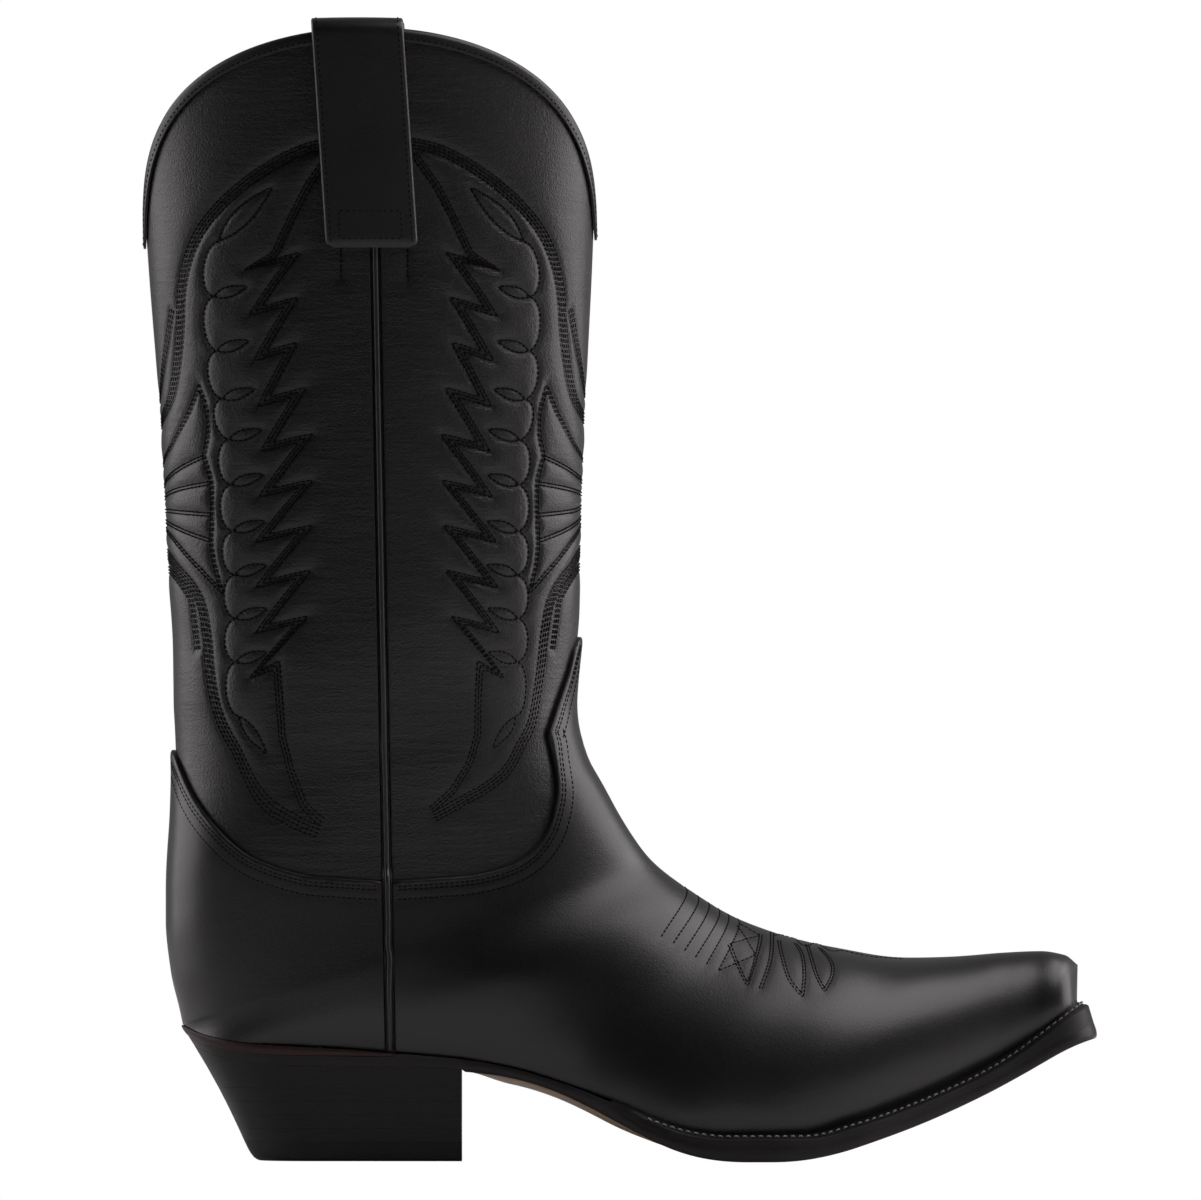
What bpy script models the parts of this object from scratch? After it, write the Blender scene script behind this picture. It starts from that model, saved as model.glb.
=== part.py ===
"""A pull-on western boot of welted leather construction, right foot, men's size of about 43.

The upper is one smooth surface with a row coordinate e and a column coordinate c.
e is close to a length in millimetres. It runs down the leg from the topline, round the
heel, and then forward along the feather line, where the upper meets the sole, to the toe.
c runs round the boot: 0 is the front centre line and the ridge of the foot, +-0.5 the
widest place, where the leg has its side seams, and +-1 the back centre line or the
feather line. Negative c is the lateral side, at -Y. Every leather layer is an offset of
this surface, so the layers nest. The toe points to +X, and the origin is the centre of
the heel cap's underside. Sizes below are in millimetres; MM turns them into metres.
"""

import math

import bmesh
import bpy
import numpy as np
from mathutils import Vector

MM = 0.001
GAP = 0.3

# Leg of the boot, against height above the ground
ANKLE_Z = 137.0
LEG_FRONT = ((100, 84), (137, 74), (153, 72.3), (187, 73), (253, 75), (303, 77.3), (390, 80))
LEG_BACK = ((100, -64), (137, -61.7), (170, -62), (200, -64), (253, -66.7), (296, -70), (390, -76))
LEG_HALF_WIDTH = ((100, 37), (137, 37.5), (200, 39), (300, 40.5), (390, 42.5))
SEAM_X_AT_GROUND = 11.0
SEAM_LEAN = -0.0187
TOP_PEAK = 375.3
FRONT_SCALLOP = (295.6, 0.61)
BACK_SCALLOP = (288.6, 0.55)
SCALLOP_NOTCH = 0.1

# Foot of the boot, in side view
BACK_X = ((45.3, -59), (50, -60), (63, -63), (80, -64.7), (90, -64.7), (120, -63), (137, -61.7))
RIDGE_Z = ((74, 137), (80, 127), (88.3, 112), (97, 100), (110, 90), (127, 80), (147, 73.3),
           (163, 70), (180, 67.4), (197, 67.7), (213, 69), (227, 69.6), (235, 68.3), (239.3, 65))
FEATHER_Z = ((-59, 45.3), (-52, 42.3), (-45, 40.6), (-35, 39.3), (-3, 37.4), (20, 35.6), (35, 34.2),
             (50, 31.6), (63, 28), (75, 24), (88, 18.8), (103, 12.6), (113, 9.8), (122, 8.9), (147, 8.9),
             (163, 12.8), (180, 18.6), (198, 26.2), (217, 35.7), (234, 46), (240, 50))
SOLE_BOTTOM_Z = ((34, 30.2), (48, 28.6), (63, 24.4), (75, 19), (88, 11.6), (103, 4.2), (112, 1), (116, 0),
                 (150, 0), (158, 2), (163, 3.8), (180, 9.3), (198, 16.8), (217, 26), (234, 36.2), (245, 42.8))

# Plan of the feather line
HEEL_RADIUS = 29.0
HEEL_CENTRE_X = -30.0
TOE_ROUND_X = 227.0
TOE_TIP_X = 239.0
TOE_SQUARENESS = 3.2
PLAN_HALF_WIDTH = ((-30, 29), (10, 29), (35, 28.5), (60, 30), (85, 37.5), (110, 44.5), (135, 45.5),
                   (160, 39.5), (185, 29), (205, 20.5), (220, 15.5), (239, 12.5))
PLAN_CENTRE_Y = ((0, 0), (35, -1.5), (60, -2.5), (85, -3), (110, -1.5), (135, 1), (160, 2.5),
                 (190, 4), (215, 5), (245, 6))

# Rows: e at the topline, the ankle, the breast of the heel, and the toe
E_TOP = -332.0
E_ANKLE = -92.0
HEEL_ARC = HEEL_RADIUS * math.pi / 2
BREAST_X = 34.0
E_BREAST = HEEL_ARC + BREAST_X - HEEL_CENTRE_X
E_TOE_ROUND = HEEL_ARC + TOE_ROUND_X - HEEL_CENTRE_X
TOE_ARC = 22.0
E_TOE = E_TOE_ROUND + TOE_ARC
E_TREAD = (HEEL_ARC + 119 - HEEL_CENTRE_X, HEEL_ARC + 147 - HEEL_CENTRE_X)

# Sections of the foot, against e: x of the ridge end, widest half width, and where it is widest
RIDGE_X = ((-92, 74), (0, 97), (46, 105), (110, 119), (160, 137), (210, 165), (255, 195), (289, 218),
           (E_TOE_ROUND, 227.5), (E_TOE, 239.3))
WIDEST = ((-92, 37.5), (-60, 36), (-20, 35), (20, 35.5), (60, 35.5), (110, 34), (135, 35), (160, 40.5),
          (185, 47), (210, 48), (233, 43.5), (255, 35), (275, 26.5), (289, 20.5), (302, 16.5), (325, 14.8))
BACK_FULLNESS = ((-92, 2), (-50, 2.5), (60, 2.5), (110, 2))
WIDEST_AT = ((-92, 0.483), (0, 0.55), (60, 0.58), (110, 0.62), (135, 0.7), (160, 0.78), (210, 0.83),
             (255, 0.8), (302, 0.72), (325, 0.7))

# Leather layers, as distances from the base surface, outer and inner face
OUTER_LAYER = (2.1, 0.3)
SHAFT_LAYER = (0.0, -1.8)
LINING_LAYER = (-2.1, -3.1)
LAP = 2.1

# Rows and columns of the leather mesh
LEG_ROWS = (E_TOP, -290, -240, -190, -155, -124, E_ANKLE)
FOOT_ROWS = (-64, -38, -16, 0, 14, 30, HEEL_ARC, 66, 88, E_BREAST, 130, 150, 160, 172, E_TREAD[0],
             E_TREAD[1], 245, 264, 282, E_TOE_ROUND)
TOE_STEPS = (0.3, 0.56, 0.78, 0.92, 1.0)
ROWS = LEG_ROWS + FOOT_ROWS + tuple(E_TOE_ROUND + TOE_ARC * t for t in TOE_STEPS)
HALF_COLUMNS = (0, 0.045, 0.13, 0.22, 0.32, 0.41, 0.5, 0.6, 0.71, 0.82, 0.91, 0.96, 1)
COLUMNS = tuple(-c for c in reversed(HALF_COLUMNS[1:])) + HALF_COLUMNS
SEAM_GAP_C = 0.0012

# Seams in side view, as (x, z)
VAMP_EDGE = ((10.8, -10), (9.4, 93.3), (40, 95.7), (53.3, 100), (61.7, 108.3), (66, 120), (65.7, 130),
             (63.3, 142.7), (67, 151.3), (70.4, 161), (71.6, 172), (74, 179), (95, 182), (270, 182), (270, -10))
COUNTER_EDGE = ((10.3, 20), (9.3, 93.3), (-20, 95.7), (-36.7, 101.7), (-48.3, 111.7), (-56.7, 123.3),
                (-62.5, 138), (-90, 142), (-90, 20))
SHAFT_FRONT_EDGE = ((2, 400), (9.6, 84), (42, 86), (57, 91), (70, 102), (100, 112), (120, 400))
SHAFT_BACK_EDGE = ((2, 400), (9.6, 84), (-20, 86.5), (-33, 91), (-42, 100), (-50, 112), (-90, 122), (-90, 400))
HEEL_COUNTER_EDGE = ((32, 20), (28, 50), (20, 66), (0, 78), (-20, 83), (-31, 87), (-40, 96), (-49, 108),
                     (-90, 118), (-90, 20))
TOE_BOX_EDGE = ((186, 0), (178, 90), (260, 90), (260, 0))

# Topline binding: a folded strip, as (distance outward, distance above the leather's edge)
BINDING_SECTION = ((1.5, -3), (1.5, 1.1), (0.9, 1.6), (-4.1, 1.6), (-4.7, 1.1), (-4.7, -3),
                   (-3.9, -3), (-3.9, 0.7), (0.7, 0.7), (0.7, -3))

# Side seam piping, a flat strip with a cord along its middle, as (half width share, height)
PIPING_Z = (304, 270, 230, 190, 160, ANKLE_Z, 118, 104, 99, 95.5, 84, 70, 58, 48, 39)
PIPING_HALF_WIDTH = 2.5
PIPING_SECTION = ((-1, 0), (-1, 0.55), (-0.45, 0.6), (-0.25, 1), (0.25, 1), (0.45, 0.6), (1, 0.55), (1, 0))
PIPING_CLEARANCE = 0.6
PIPING_STEP_Z = (95.5, 100)

# Pull straps: folded loops, hinged where their sewn ends finish
STRAP_WIDTH = 32.0
STRAP_COLUMNS = 6
STRAP_HALF_THICKNESS = 0.9
STRAP_BOTTOM = (3.5, 305.0)
STRAP_LEAN = -0.053
STRAP_HINGE_Z = 306.0
STRAP_SWING = math.radians(8)
STRAP_STANDOFF = 2.8
STRAP_INNER_STANDOFF = 6.2
STRAP_INNER_BOTTOM_Z = 293.0
STRAP_INNER_TOP_Z = 377.3
STRAP_TOP_Z = 379.4
STRAP_CORNER = 2.8

# Bottom of the boot, against x
SOLE_GROW = ((-60, 0.6), (20, 1), (40, 1), (70, 1.2), (90, 3.6), (110, 5), (215, 5), (245, 4.5))
STRIP_DEPTH = ((-60, 3.5), (-30, 3.1), (12, 1.2), (30, 0), (76, 0), (84, 1.2), (96, 3.4), (245, 3.4))
WAIST_CROWN = ((36, 0), (50, 1.4), (80, 1.4), (108, 0))
SEAT_THICKNESS = 3.3
WELT_START_E = 160
WELT_INNER = -2.6
RAND_END_E = 88
RAND_INNER = -6.0
INNER_OUTLINE = ((-60, -9), (-20, -6.8), (20, -5.8), (230, -5.6))
INSOLE_RISE = 2.3
INSOLE_THICKNESS = 2.8
HEEL_PAD_OUTLINE = ((-60, -11), (-20, -8), (35, -7))
HEEL_PAD_THICKNESS = 1.4
CORK_START_E = 172
SHANK_X = (-22.0, 84.0)
SHANK_STATIONS = 9
SHANK_HALF_WIDTH = 6.5
SHANK_RISE = 0.3
SHANK_THICKNESS = 1.5

# Heel: a stack of lifts that tapers from the seat to the ground
HEEL_TOP_LENGTH = 93.6
HEEL_TOP_HALF_WIDTH = 30.0
HEEL_BACK_TAPER = 0.54
HEEL_SIDE_TAPER = 0.1
CAP_THICKNESS = 6.4
CAP_PROUD = 0.012
LIFT_THICKNESS = 4.2
LIFTS = 5

# Nails, as places in plan: heel nails driven down through the insole, cap nails driven up
NAIL_RADIUS = 1.0
NAIL_HEAD_RADIUS = 2.2
NAIL_HEAD_THICKNESS = 0.8
NAIL_SIDES = 10
HEEL_NAIL_LENGTH = 29.0
CAP_NAIL_LENGTH = 9.5
NAIL_RECESS = 0.3
HEEL_NAILS = ((-30, 0), (-14, -14), (-14, 14), (14, -13), (14, 13))
CAP_NAILS = ((-20, 0), (-8, -13), (-8, 13), (22, -14), (22, 14))


# ---------------------------------------------------------------- curves

def curve(knots, x):
    """A smooth curve through the knots that never overshoots them, held level past both ends."""
    xs = [k[0] for k in knots]
    ys = [k[1] for k in knots]
    if x <= xs[0]:
        return ys[0]
    if x >= xs[-1]:
        return ys[-1]
    i = max(k for k in range(len(xs) - 1) if xs[k] <= x)
    step = xs[i + 1] - xs[i]
    t = (x - xs[i]) / step
    start = knot_slope(xs, ys, i) * step
    end = knot_slope(xs, ys, i + 1) * step
    return (
        (2 * t**3 - 3 * t**2 + 1) * ys[i]
        + (t**3 - 2 * t**2 + t) * start
        + (3 * t**2 - 2 * t**3) * ys[i + 1]
        + (t**3 - t**2) * end
    )


def knot_slope(xs, ys, i):
    """The slope at a knot: the harmonic mean of its two spans, and zero where they disagree."""
    if i == 0:
        return (ys[1] - ys[0]) / (xs[1] - xs[0])
    if i == len(xs) - 1:
        return (ys[-1] - ys[-2]) / (xs[-1] - xs[-2])
    before = (ys[i] - ys[i - 1]) / (xs[i] - xs[i - 1])
    after = (ys[i + 1] - ys[i]) / (xs[i + 1] - xs[i])
    if before * after <= 0:
        return 0.0
    return 2 * before * after / (before + after)


def smooth_step(x, start, end):
    t = min(1.0, max(0.0, (x - start) / (end - start)))
    return t * t * (3 - 2 * t)


def seam_x(z):
    return SEAM_X_AT_GROUND + SEAM_LEAN * z


# ---------------------------------------------------------------- surface of the upper

def topline_z(angle):
    """Height of the topline: a notch at the front and back, rising to a peak at each side seam."""
    low, power = FRONT_SCALLOP if angle < math.pi / 2 else BACK_SCALLOP
    sideways = math.sin(angle)
    if sideways >= SCALLOP_NOTCH:
        return low + (TOP_PEAK - low) * sideways**power
    rounded = 1 - power / 2 * (1 - (sideways / SCALLOP_NOTCH) ** 2)
    return low + (TOP_PEAK - low) * SCALLOP_NOTCH**power * rounded


def leg_point(z, angle):
    """The leg is two half ellipses that meet at the side seams."""
    middle = seam_x(z)
    reach = curve(LEG_FRONT, z) - middle if angle < math.pi / 2 else middle - curve(LEG_BACK, z)
    return middle + reach * math.cos(angle), curve(LEG_HALF_WIDTH, z) * math.sin(angle), z


def toe_rounding(e):
    """1 along the foot, falling to 0 over the squared toe."""
    if e <= E_TOE_ROUND:
        return 1.0
    along = math.sin(math.pi / 2 * min(1.0, (e - E_TOE_ROUND) / TOE_ARC))
    return max(0.0, 1 - along**TOE_SQUARENESS) ** (1 / TOE_SQUARENESS)


def base_end(e):
    """Where row e ends low down: x, z and half width, on the back centre line or the feather line."""
    if e <= 0:
        z = FEATHER_Z[0][1] + (ANKLE_Z - FEATHER_Z[0][1]) * e / E_ANKLE
        return curve(BACK_X, z), z, 0.0
    if e < HEEL_ARC:
        x = HEEL_CENTRE_X - HEEL_RADIUS * math.cos(e / HEEL_RADIUS)
        return x, curve(FEATHER_Z, x), HEEL_RADIUS * math.sin(e / HEEL_RADIUS)
    if e < E_TOE_ROUND:
        x = HEEL_CENTRE_X + e - HEEL_ARC
        return x, curve(FEATHER_Z, x), curve(PLAN_HALF_WIDTH, x)
    along = math.sin(math.pi / 2 * min(1.0, (e - E_TOE_ROUND) / TOE_ARC))
    x = TOE_ROUND_X + (TOE_TIP_X - TOE_ROUND_X) * along
    return x, curve(FEATHER_Z, x), curve(PLAN_HALF_WIDTH, x) * toe_rounding(e)


def last_angle(e, base_half, widest):
    """The angle at which the lower curve of row e has narrowed to the row's end."""
    if widest < 1e-6:
        return math.pi / 4
    return math.acos((base_half / widest) ** (curve(BACK_FULLNESS, e) / 2))


def foot_point(e, c):
    """Each row of the foot is a slice from the ridge to the feather line, widest part way down."""
    ridge_x = curve(RIDGE_X, e)
    ridge_z = curve(RIDGE_Z, ridge_x)
    base_x, base_z, base_half = base_end(e)
    widest = curve(WIDEST, e) * toe_rounding(e)
    widest_at = curve(WIDEST_AT, e)
    if abs(c) <= 0.5:
        angle = math.pi * abs(c)
        along = widest_at * (1 - math.cos(angle))
        half = widest * math.sin(angle)
    else:
        power = 2 / curve(BACK_FULLNESS, e)
        last = last_angle(e, base_half, widest)
        angle = (abs(c) - 0.5) * 2 * last
        along = widest_at + (1 - widest_at) * (math.sin(angle) / math.sin(last)) ** power
        half = widest * max(0.0, math.cos(angle)) ** power
    x = ridge_x + (base_x - ridge_x) * along
    z = ridge_z + (base_z - ridge_z) * along
    centre = curve(PLAN_CENTRE_Y, x) * smooth_step(e, 0, 110)
    return x, centre + math.copysign(half, c), z


def base_point(e, c):
    """The base surface: the leg above the ankle, the foot below it."""
    if e >= E_ANKLE:
        return np.array(foot_point(e, c))
    angle = math.pi * abs(c)
    up = (E_ANKLE - e) / (E_ANKLE - E_TOP)
    x, y, z = leg_point(ANKLE_Z + (topline_z(angle) - ANKLE_Z) * up, angle)
    return np.array((x, math.copysign(y, c), z))


def on_centre_line(e, c):
    return abs(c) == 0 or e >= E_TOE or (abs(c) == 1 and e <= 0)


def normal_at(e, c):
    """Outward normal. It stays level along the feather line, so that every layer ends at one height."""
    rows = max(E_TOP, e - 0.5), min(E_TOE, e + 0.5)
    columns = max(-1.0, c - 0.004), min(1.0, c + 0.004)
    down = base_point(rows[1], c) - base_point(rows[0], c)
    across_e = min(e, E_TOE - 0.5)
    across = base_point(across_e, columns[1]) - base_point(across_e, columns[0])
    normal = np.cross(down, across)
    if on_centre_line(e, c):
        normal[1] = 0.0
    if abs(c) == 1 and e >= 0:
        normal[2] = 0.0
    return normal / np.linalg.norm(normal)


def layer_drop(e, c):
    """The shaft leather sinks by one lap under the vamp and the counter."""
    start = -134 + 42 * smooth_step(abs(c), 0.2, 0.8)
    return LAP * smooth_step(e, start, start + 28)


def layer_point(e, c, distance):
    return base_point(e, c) + normal_at(e, c) * (distance - layer_drop(e, c))


def column_at(e, x, z):
    """Column and misfit of side view point (x, z) on row e of the foot."""
    ridge_x = curve(RIDGE_X, e)
    ridge_z = curve(RIDGE_Z, ridge_x)
    base_x, base_z, base_half = base_end(e)
    run, rise = base_x - ridge_x, base_z - ridge_z
    misfit = (x - ridge_x) * rise - (z - ridge_z) * run
    along = ((x - ridge_x) * run + (z - ridge_z) * rise) / (run * run + rise * rise)
    widest_at = curve(WIDEST_AT, e)
    if along <= widest_at:
        return math.acos(max(-1.0, min(1.0, 1 - along / widest_at))) / math.pi, misfit
    last = last_angle(e, base_half, curve(WIDEST, e))
    share = (along - widest_at) / (1 - widest_at)
    sine = math.sin(last) * share ** (curve(BACK_FULLNESS, e) / 2)
    return 0.5 + 0.5 * math.asin(min(1.0, sine)) / last, misfit


def locate(x, z):
    """Row and column of the point of the upper seen at (x, z) from the side."""
    if z >= ANKLE_Z:
        middle = seam_x(z)
        reach = curve(LEG_FRONT, z) - middle if x > middle else middle - curve(LEG_BACK, z)
        angle = math.acos(max(-1.0, min(1.0, (x - middle) / reach)))
        up = (z - ANKLE_Z) / (topline_z(angle) - ANKLE_Z)
        return E_ANKLE - (E_ANKLE - E_TOP) * up, angle / math.pi
    low, high = E_ANKLE, E_TOE_ROUND
    for _ in range(30):
        middle = (low + high) / 2
        if column_at(middle, x, z)[1] > 0:
            high = middle
        else:
            low = middle
    return low, column_at(low, x, z)[0]


# ---------------------------------------------------------------- building meshes

def material(name, colour, roughness, metallic=0.0):
    made = bpy.data.materials.new(name)
    made.use_nodes = True
    shader = made.node_tree.nodes["Principled BSDF"]
    shader.inputs["Base Color"].default_value = (*colour, 1)
    shader.inputs["Roughness"].default_value = roughness
    shader.inputs["Metallic"].default_value = metallic
    return made


def add_object(name, points, faces, finish, origin=(0, 0, 0)):
    """A mesh object from points in millimetres. Points in the same place are joined."""
    mesh = bpy.data.meshes.new(name)
    work = bmesh.new()
    made = [work.verts.new(Vector(p - np.array(origin)) * MM) for p in points]
    for face in faces:
        work.faces.new([made[i] for i in face])
    bmesh.ops.remove_doubles(work, verts=work.verts, dist=1e-7)
    bmesh.ops.recalc_face_normals(work, faces=work.faces)
    work.to_mesh(mesh)
    work.free()
    mesh.shade_smooth()
    mesh.set_sharp_from_angle(angle=math.radians(35))
    mesh.materials.append(finish)
    return place_mesh(name, mesh, origin)


def place_mesh(name, mesh, origin):
    obj = bpy.data.objects.new(name, mesh)
    obj.location = Vector(origin) * MM
    bpy.context.scene.collection.objects.link(obj)
    return obj


def make_cutter(obj):
    obj.hide_render = True
    obj.display_type = "WIRE"
    return obj


def cut(obj, cutter, operation="DIFFERENCE"):
    change = obj.modifiers.new(cutter.name, "BOOLEAN")
    change.operation = operation
    change.object = cutter
    change.solver = "EXACT"


def prism(name, outline, half_depth=90.0):
    """A side view outline carried through the boot from side to side."""
    count = len(outline)
    points = [(x, y, z) for y in (-half_depth, half_depth) for x, z in outline]
    faces = [tuple(range(count)), tuple(range(2 * count - 1, count - 1, -1))]
    faces += [(i, i + count, (i + 1) % count + count, (i + 1) % count) for i in range(count)]
    return make_cutter(add_object(name, points, faces, FINISHES["guide"]))


def grid_triangles(rows, columns):
    """Index triples of a grid of points listed row by row, all split the same way."""
    faces = []
    for i in range(rows - 1):
        for j in range(columns - 1):
            a = i * columns + j
            faces.append((a, a + 1, a + columns))
            faces.append((a + 1, a + columns + 1, a + columns))
    return faces


def weld_index(points):
    """For each point, the index of the first point in the same place."""
    _, first, index = np.unique(
        np.round(points, 5) + 0.0, axis=0, return_index=True, return_inverse=True
    )
    return first[index.reshape(-1)]


def slab(name, upper, lower, rows, finish, places=None):
    """A closed solid between two grids of points, walled wherever the grid has an open edge."""
    index = weld_index(upper if places is None else places)
    faces = [tuple(index[i] for i in f) for f in grid_triangles(rows, len(upper) // rows)]
    faces = [f for f in faces if len(set(f)) == 3]
    edges = {(f[k], f[(k + 1) % 3]) for f in faces for k in range(3)}
    count = len(upper)
    walls = []
    for a, b in sorted(edges):
        if (b, a) not in edges:
            walls += [(b, a, a + count), (b, a + count, b + count)]
    faces += [tuple(i + count for i in reversed(f)) for f in faces]
    used = sorted({i for f in faces + walls for i in f})
    new_index = {old: new for new, old in enumerate(used)}
    points = np.concatenate([upper, lower])[used]
    return add_object(name, points, [tuple(new_index[i] for i in f) for f in faces + walls], finish)


def tube(name, rings, finish, closed=False, origin=(0, 0, 0)):
    """A solid through rings of points, with its ends filled unless the rings form a loop."""
    count, size = len(rings), len(rings[0])
    points = [p for ring in rings for p in ring]
    faces = []
    for i in range(count if closed else count - 1):
        for j in range(size):
            a, b = i * size + j, i * size + (j + 1) % size
            c, d = (a + size) % (count * size), (b + size) % (count * size)
            faces += [(a, b, c), (b, d, c)]
    if not closed:
        faces += [tuple(range(size - 1, -1, -1)), tuple(range((count - 1) * size, count * size))]
    return add_object(name, points, faces, finish, origin)


# ---------------------------------------------------------------- the upper

def between(start, end):
    return [e for e in ROWS if start <= e <= end]


def leather(name, rows, columns, layer, finish, outline=None):
    """A sheet of leather over the given rows and columns, trimmed to its outline in side view."""
    outer = np.array([layer_point(e, c, layer[0]) for e in rows for c in columns])
    inner = np.array([layer_point(e, c, layer[1]) for e in rows for c in columns])
    places = np.array([base_point(e, c) for e in rows for c in columns])
    sheet = slab(name, outer, inner, len(rows), FINISHES[finish], places)
    if outline:
        cut(sheet, prism(name + "_outline", outline), "INTERSECT")
    return sheet


def leg_columns():
    """Columns of the front and back leg panels, which stop just short of the side seams."""
    front_half = [c for c in HALF_COLUMNS if c < 0.5] + [0.5 - SEAM_GAP_C]
    back_half = [0.5 + SEAM_GAP_C] + [c for c in HALF_COLUMNS if c > 0.5]
    front = [-c for c in reversed(front_half[1:])] + front_half
    return front, back_half + [-c for c in reversed(back_half)]


def build_foot_leather():
    leather("vamp", between(-155, E_TOE), COLUMNS, OUTER_LAYER, "foot_leather", VAMP_EDGE)
    leather("counter_cover", between(-124, E_BREAST), COLUMNS, OUTER_LAYER, "foot_leather", COUNTER_EDGE)
    leather("toe_box", between(245, E_TOE), COLUMNS, SHAFT_LAYER, "stiffener", TOE_BOX_EDGE)
    leather("heel_counter", between(E_ANKLE, E_BREAST + 21), COLUMNS, SHAFT_LAYER, "stiffener",
            HEEL_COUNTER_EDGE)
    lining_rows = [E_ANKLE + GAP] + between(-64, E_TOE_ROUND)
    leather("vamp_lining", lining_rows, COLUMNS, LINING_LAYER, "lining")


def build_leg_leather():
    front, back = leg_columns()
    down_to_instep = between(E_TOP, E_BREAST)
    leather("shaft_front", down_to_instep, front, SHAFT_LAYER, "leg_leather", SHAFT_FRONT_EDGE)
    leather("shaft_back", down_to_instep, back, SHAFT_LAYER, "leg_leather", SHAFT_BACK_EDGE)
    leather("shaft_lining_front", between(E_TOP, E_ANKLE), front, LINING_LAYER, "lining")
    leather("shaft_lining_back", between(E_TOP, E_ANKLE), back, LINING_LAYER, "lining")


def topline_ring(c, before, after):
    """The binding's section at one place on the topline, square to the edge."""
    point = base_point(E_TOP, c)
    outward = normal_at(E_TOP, c)
    along = base_point(E_TOP, after) - base_point(E_TOP, before)
    upward = np.cross(along, outward)
    upward /= np.linalg.norm(upward) * math.copysign(1, upward[2])
    return [point + outward * out + upward * up for out, up in BINDING_SECTION]


def build_binding():
    columns = COLUMNS[:-1]
    step = 0.01
    rings = []
    for c in columns:
        after = c + step
        before = c - step if c > -1 else 1 - step
        rings.append(topline_ring(c, before, after))
    tube("top_binding", rings, FINISHES["trim"], closed=True)


def build_piping(name, side):
    """Piping down the side seam. It climbs over the edges of the vamp and the counter cover."""
    rings = []
    for z in PIPING_Z:
        lift = PIPING_CLEARANCE + OUTER_LAYER[0] * (1 - smooth_step(z, *PIPING_STEP_Z))
        ring = []
        for share, height in PIPING_SECTION:
            e, c = locate(seam_x(z) + share * PIPING_HALF_WIDTH, z)
            ring.append(layer_point(e, side * c, lift + height))
        rings.append(ring)
    tube(name, rings, FINISHES["trim"])


def strap_outline():
    """The strap's folded path as corner points (distance outward from the leg, height)."""
    rise = STRAP_INNER_TOP_Z - STRAP_HINGE_Z
    inner_top = -STRAP_INNER_STANDOFF - rise * math.tan(STRAP_SWING)
    return [
        (STRAP_STANDOFF, STRAP_BOTTOM[1]),
        (STRAP_STANDOFF, STRAP_TOP_Z),
        (inner_top, STRAP_INNER_TOP_Z),
        (-STRAP_INNER_STANDOFF, STRAP_HINGE_Z),
        (-STRAP_INNER_STANDOFF, STRAP_INNER_BOTTOM_Z),
    ]


def rounded_path(corners, radius, steps=4):
    """The path with each corner swapped for a short curve, as arrays of two coordinates."""
    path = [np.array(corners[0])]
    for before, corner, after in zip(corners, corners[1:], corners[2:]):
        corner = np.array(corner)
        back = np.array(before) - corner
        ahead = np.array(after) - corner
        start = corner + back / np.linalg.norm(back) * radius
        end = corner + ahead / np.linalg.norm(ahead) * radius
        for k in range(steps + 1):
            t = k / steps
            path.append(start * (1 - t) ** 2 + corner * 2 * t * (1 - t) + end * t * t)
    path.append(np.array(corners[-1]))
    return path


def strap_section(path):
    """Outer and inner edge points of the strap, square to its path."""
    left, right = [], []
    for k, point in enumerate(path):
        along = path[min(k + 1, len(path) - 1)] - path[max(k - 1, 0)]
        across = np.array((along[1], -along[0])) / np.linalg.norm(along)
        left.append(point + across * STRAP_HALF_THICKNESS)
        right.append(point - across * STRAP_HALF_THICKNESS)
    return left + right[::-1]


def build_strap(name, side):
    """A pull strap that follows the curve of the leg, with its origin on its hinge."""
    section = strap_section(rounded_path(strap_outline(), STRAP_CORNER))
    rings = []
    for k in range(STRAP_COLUMNS + 1):
        across = STRAP_WIDTH * (k / STRAP_COLUMNS - 0.5)
        ring = []
        for out, z in section:
            x = STRAP_BOTTOM[0] + STRAP_LEAN * (z - STRAP_BOTTOM[1]) + across
            ring.append(np.array((x, side * (leg_side_y(x, z) + out), z)))
        rings.append(ring)
    hinge_y = leg_side_y(STRAP_BOTTOM[0], STRAP_HINGE_Z) + STRAP_STANDOFF
    tube(name, rings, FINISHES["trim"], origin=(STRAP_BOTTOM[0], side * hinge_y, STRAP_HINGE_Z))


def leg_side_y(x, z):
    """Half width of the leg at a place near the side seam."""
    middle = seam_x(z)
    reach = curve(LEG_FRONT, z) - middle if x > middle else middle - curve(LEG_BACK, z)
    return curve(LEG_HALF_WIDTH, z) * math.sqrt(1 - ((x - middle) / reach) ** 2)


# ---------------------------------------------------------------- the bottom

def feather_z(e):
    return base_end(e)[1]


def plan_point(e, side, grow, z):
    """A point beside the feather line, moved outward in plan, at height z."""
    point = base_point(e, side) + normal_at(e, side) * grow
    point[2] = z
    return point


def heel_point(e, side, z, proud=0.0):
    """A point on the side of the heel. Its outline shrinks towards the breast as it goes down."""
    x, y, _ = plan_point(e, side, curve(SOLE_GROW, base_end(e)[0]), z)
    depth = feather_z(e) - z
    length_share = 1 - depth * HEEL_BACK_TAPER / HEEL_TOP_LENGTH + proud
    width_share = 1 - depth * HEEL_SIDE_TAPER / HEEL_TOP_HALF_WIDTH + proud
    return np.array((BREAST_X - (BREAST_X - x) * length_share + proud, y * width_share, z))


def ladder(point, rows, shares=(0, 1)):
    """A grid of points across the boot, from point(e, -1) to point(e, 1) on each row."""
    grid = []
    for e in rows:
        lateral, medial = point(e, -1), point(e, 1)
        grid += [lateral + (medial - lateral) * t for t in shares]
    return np.array(grid)


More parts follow.
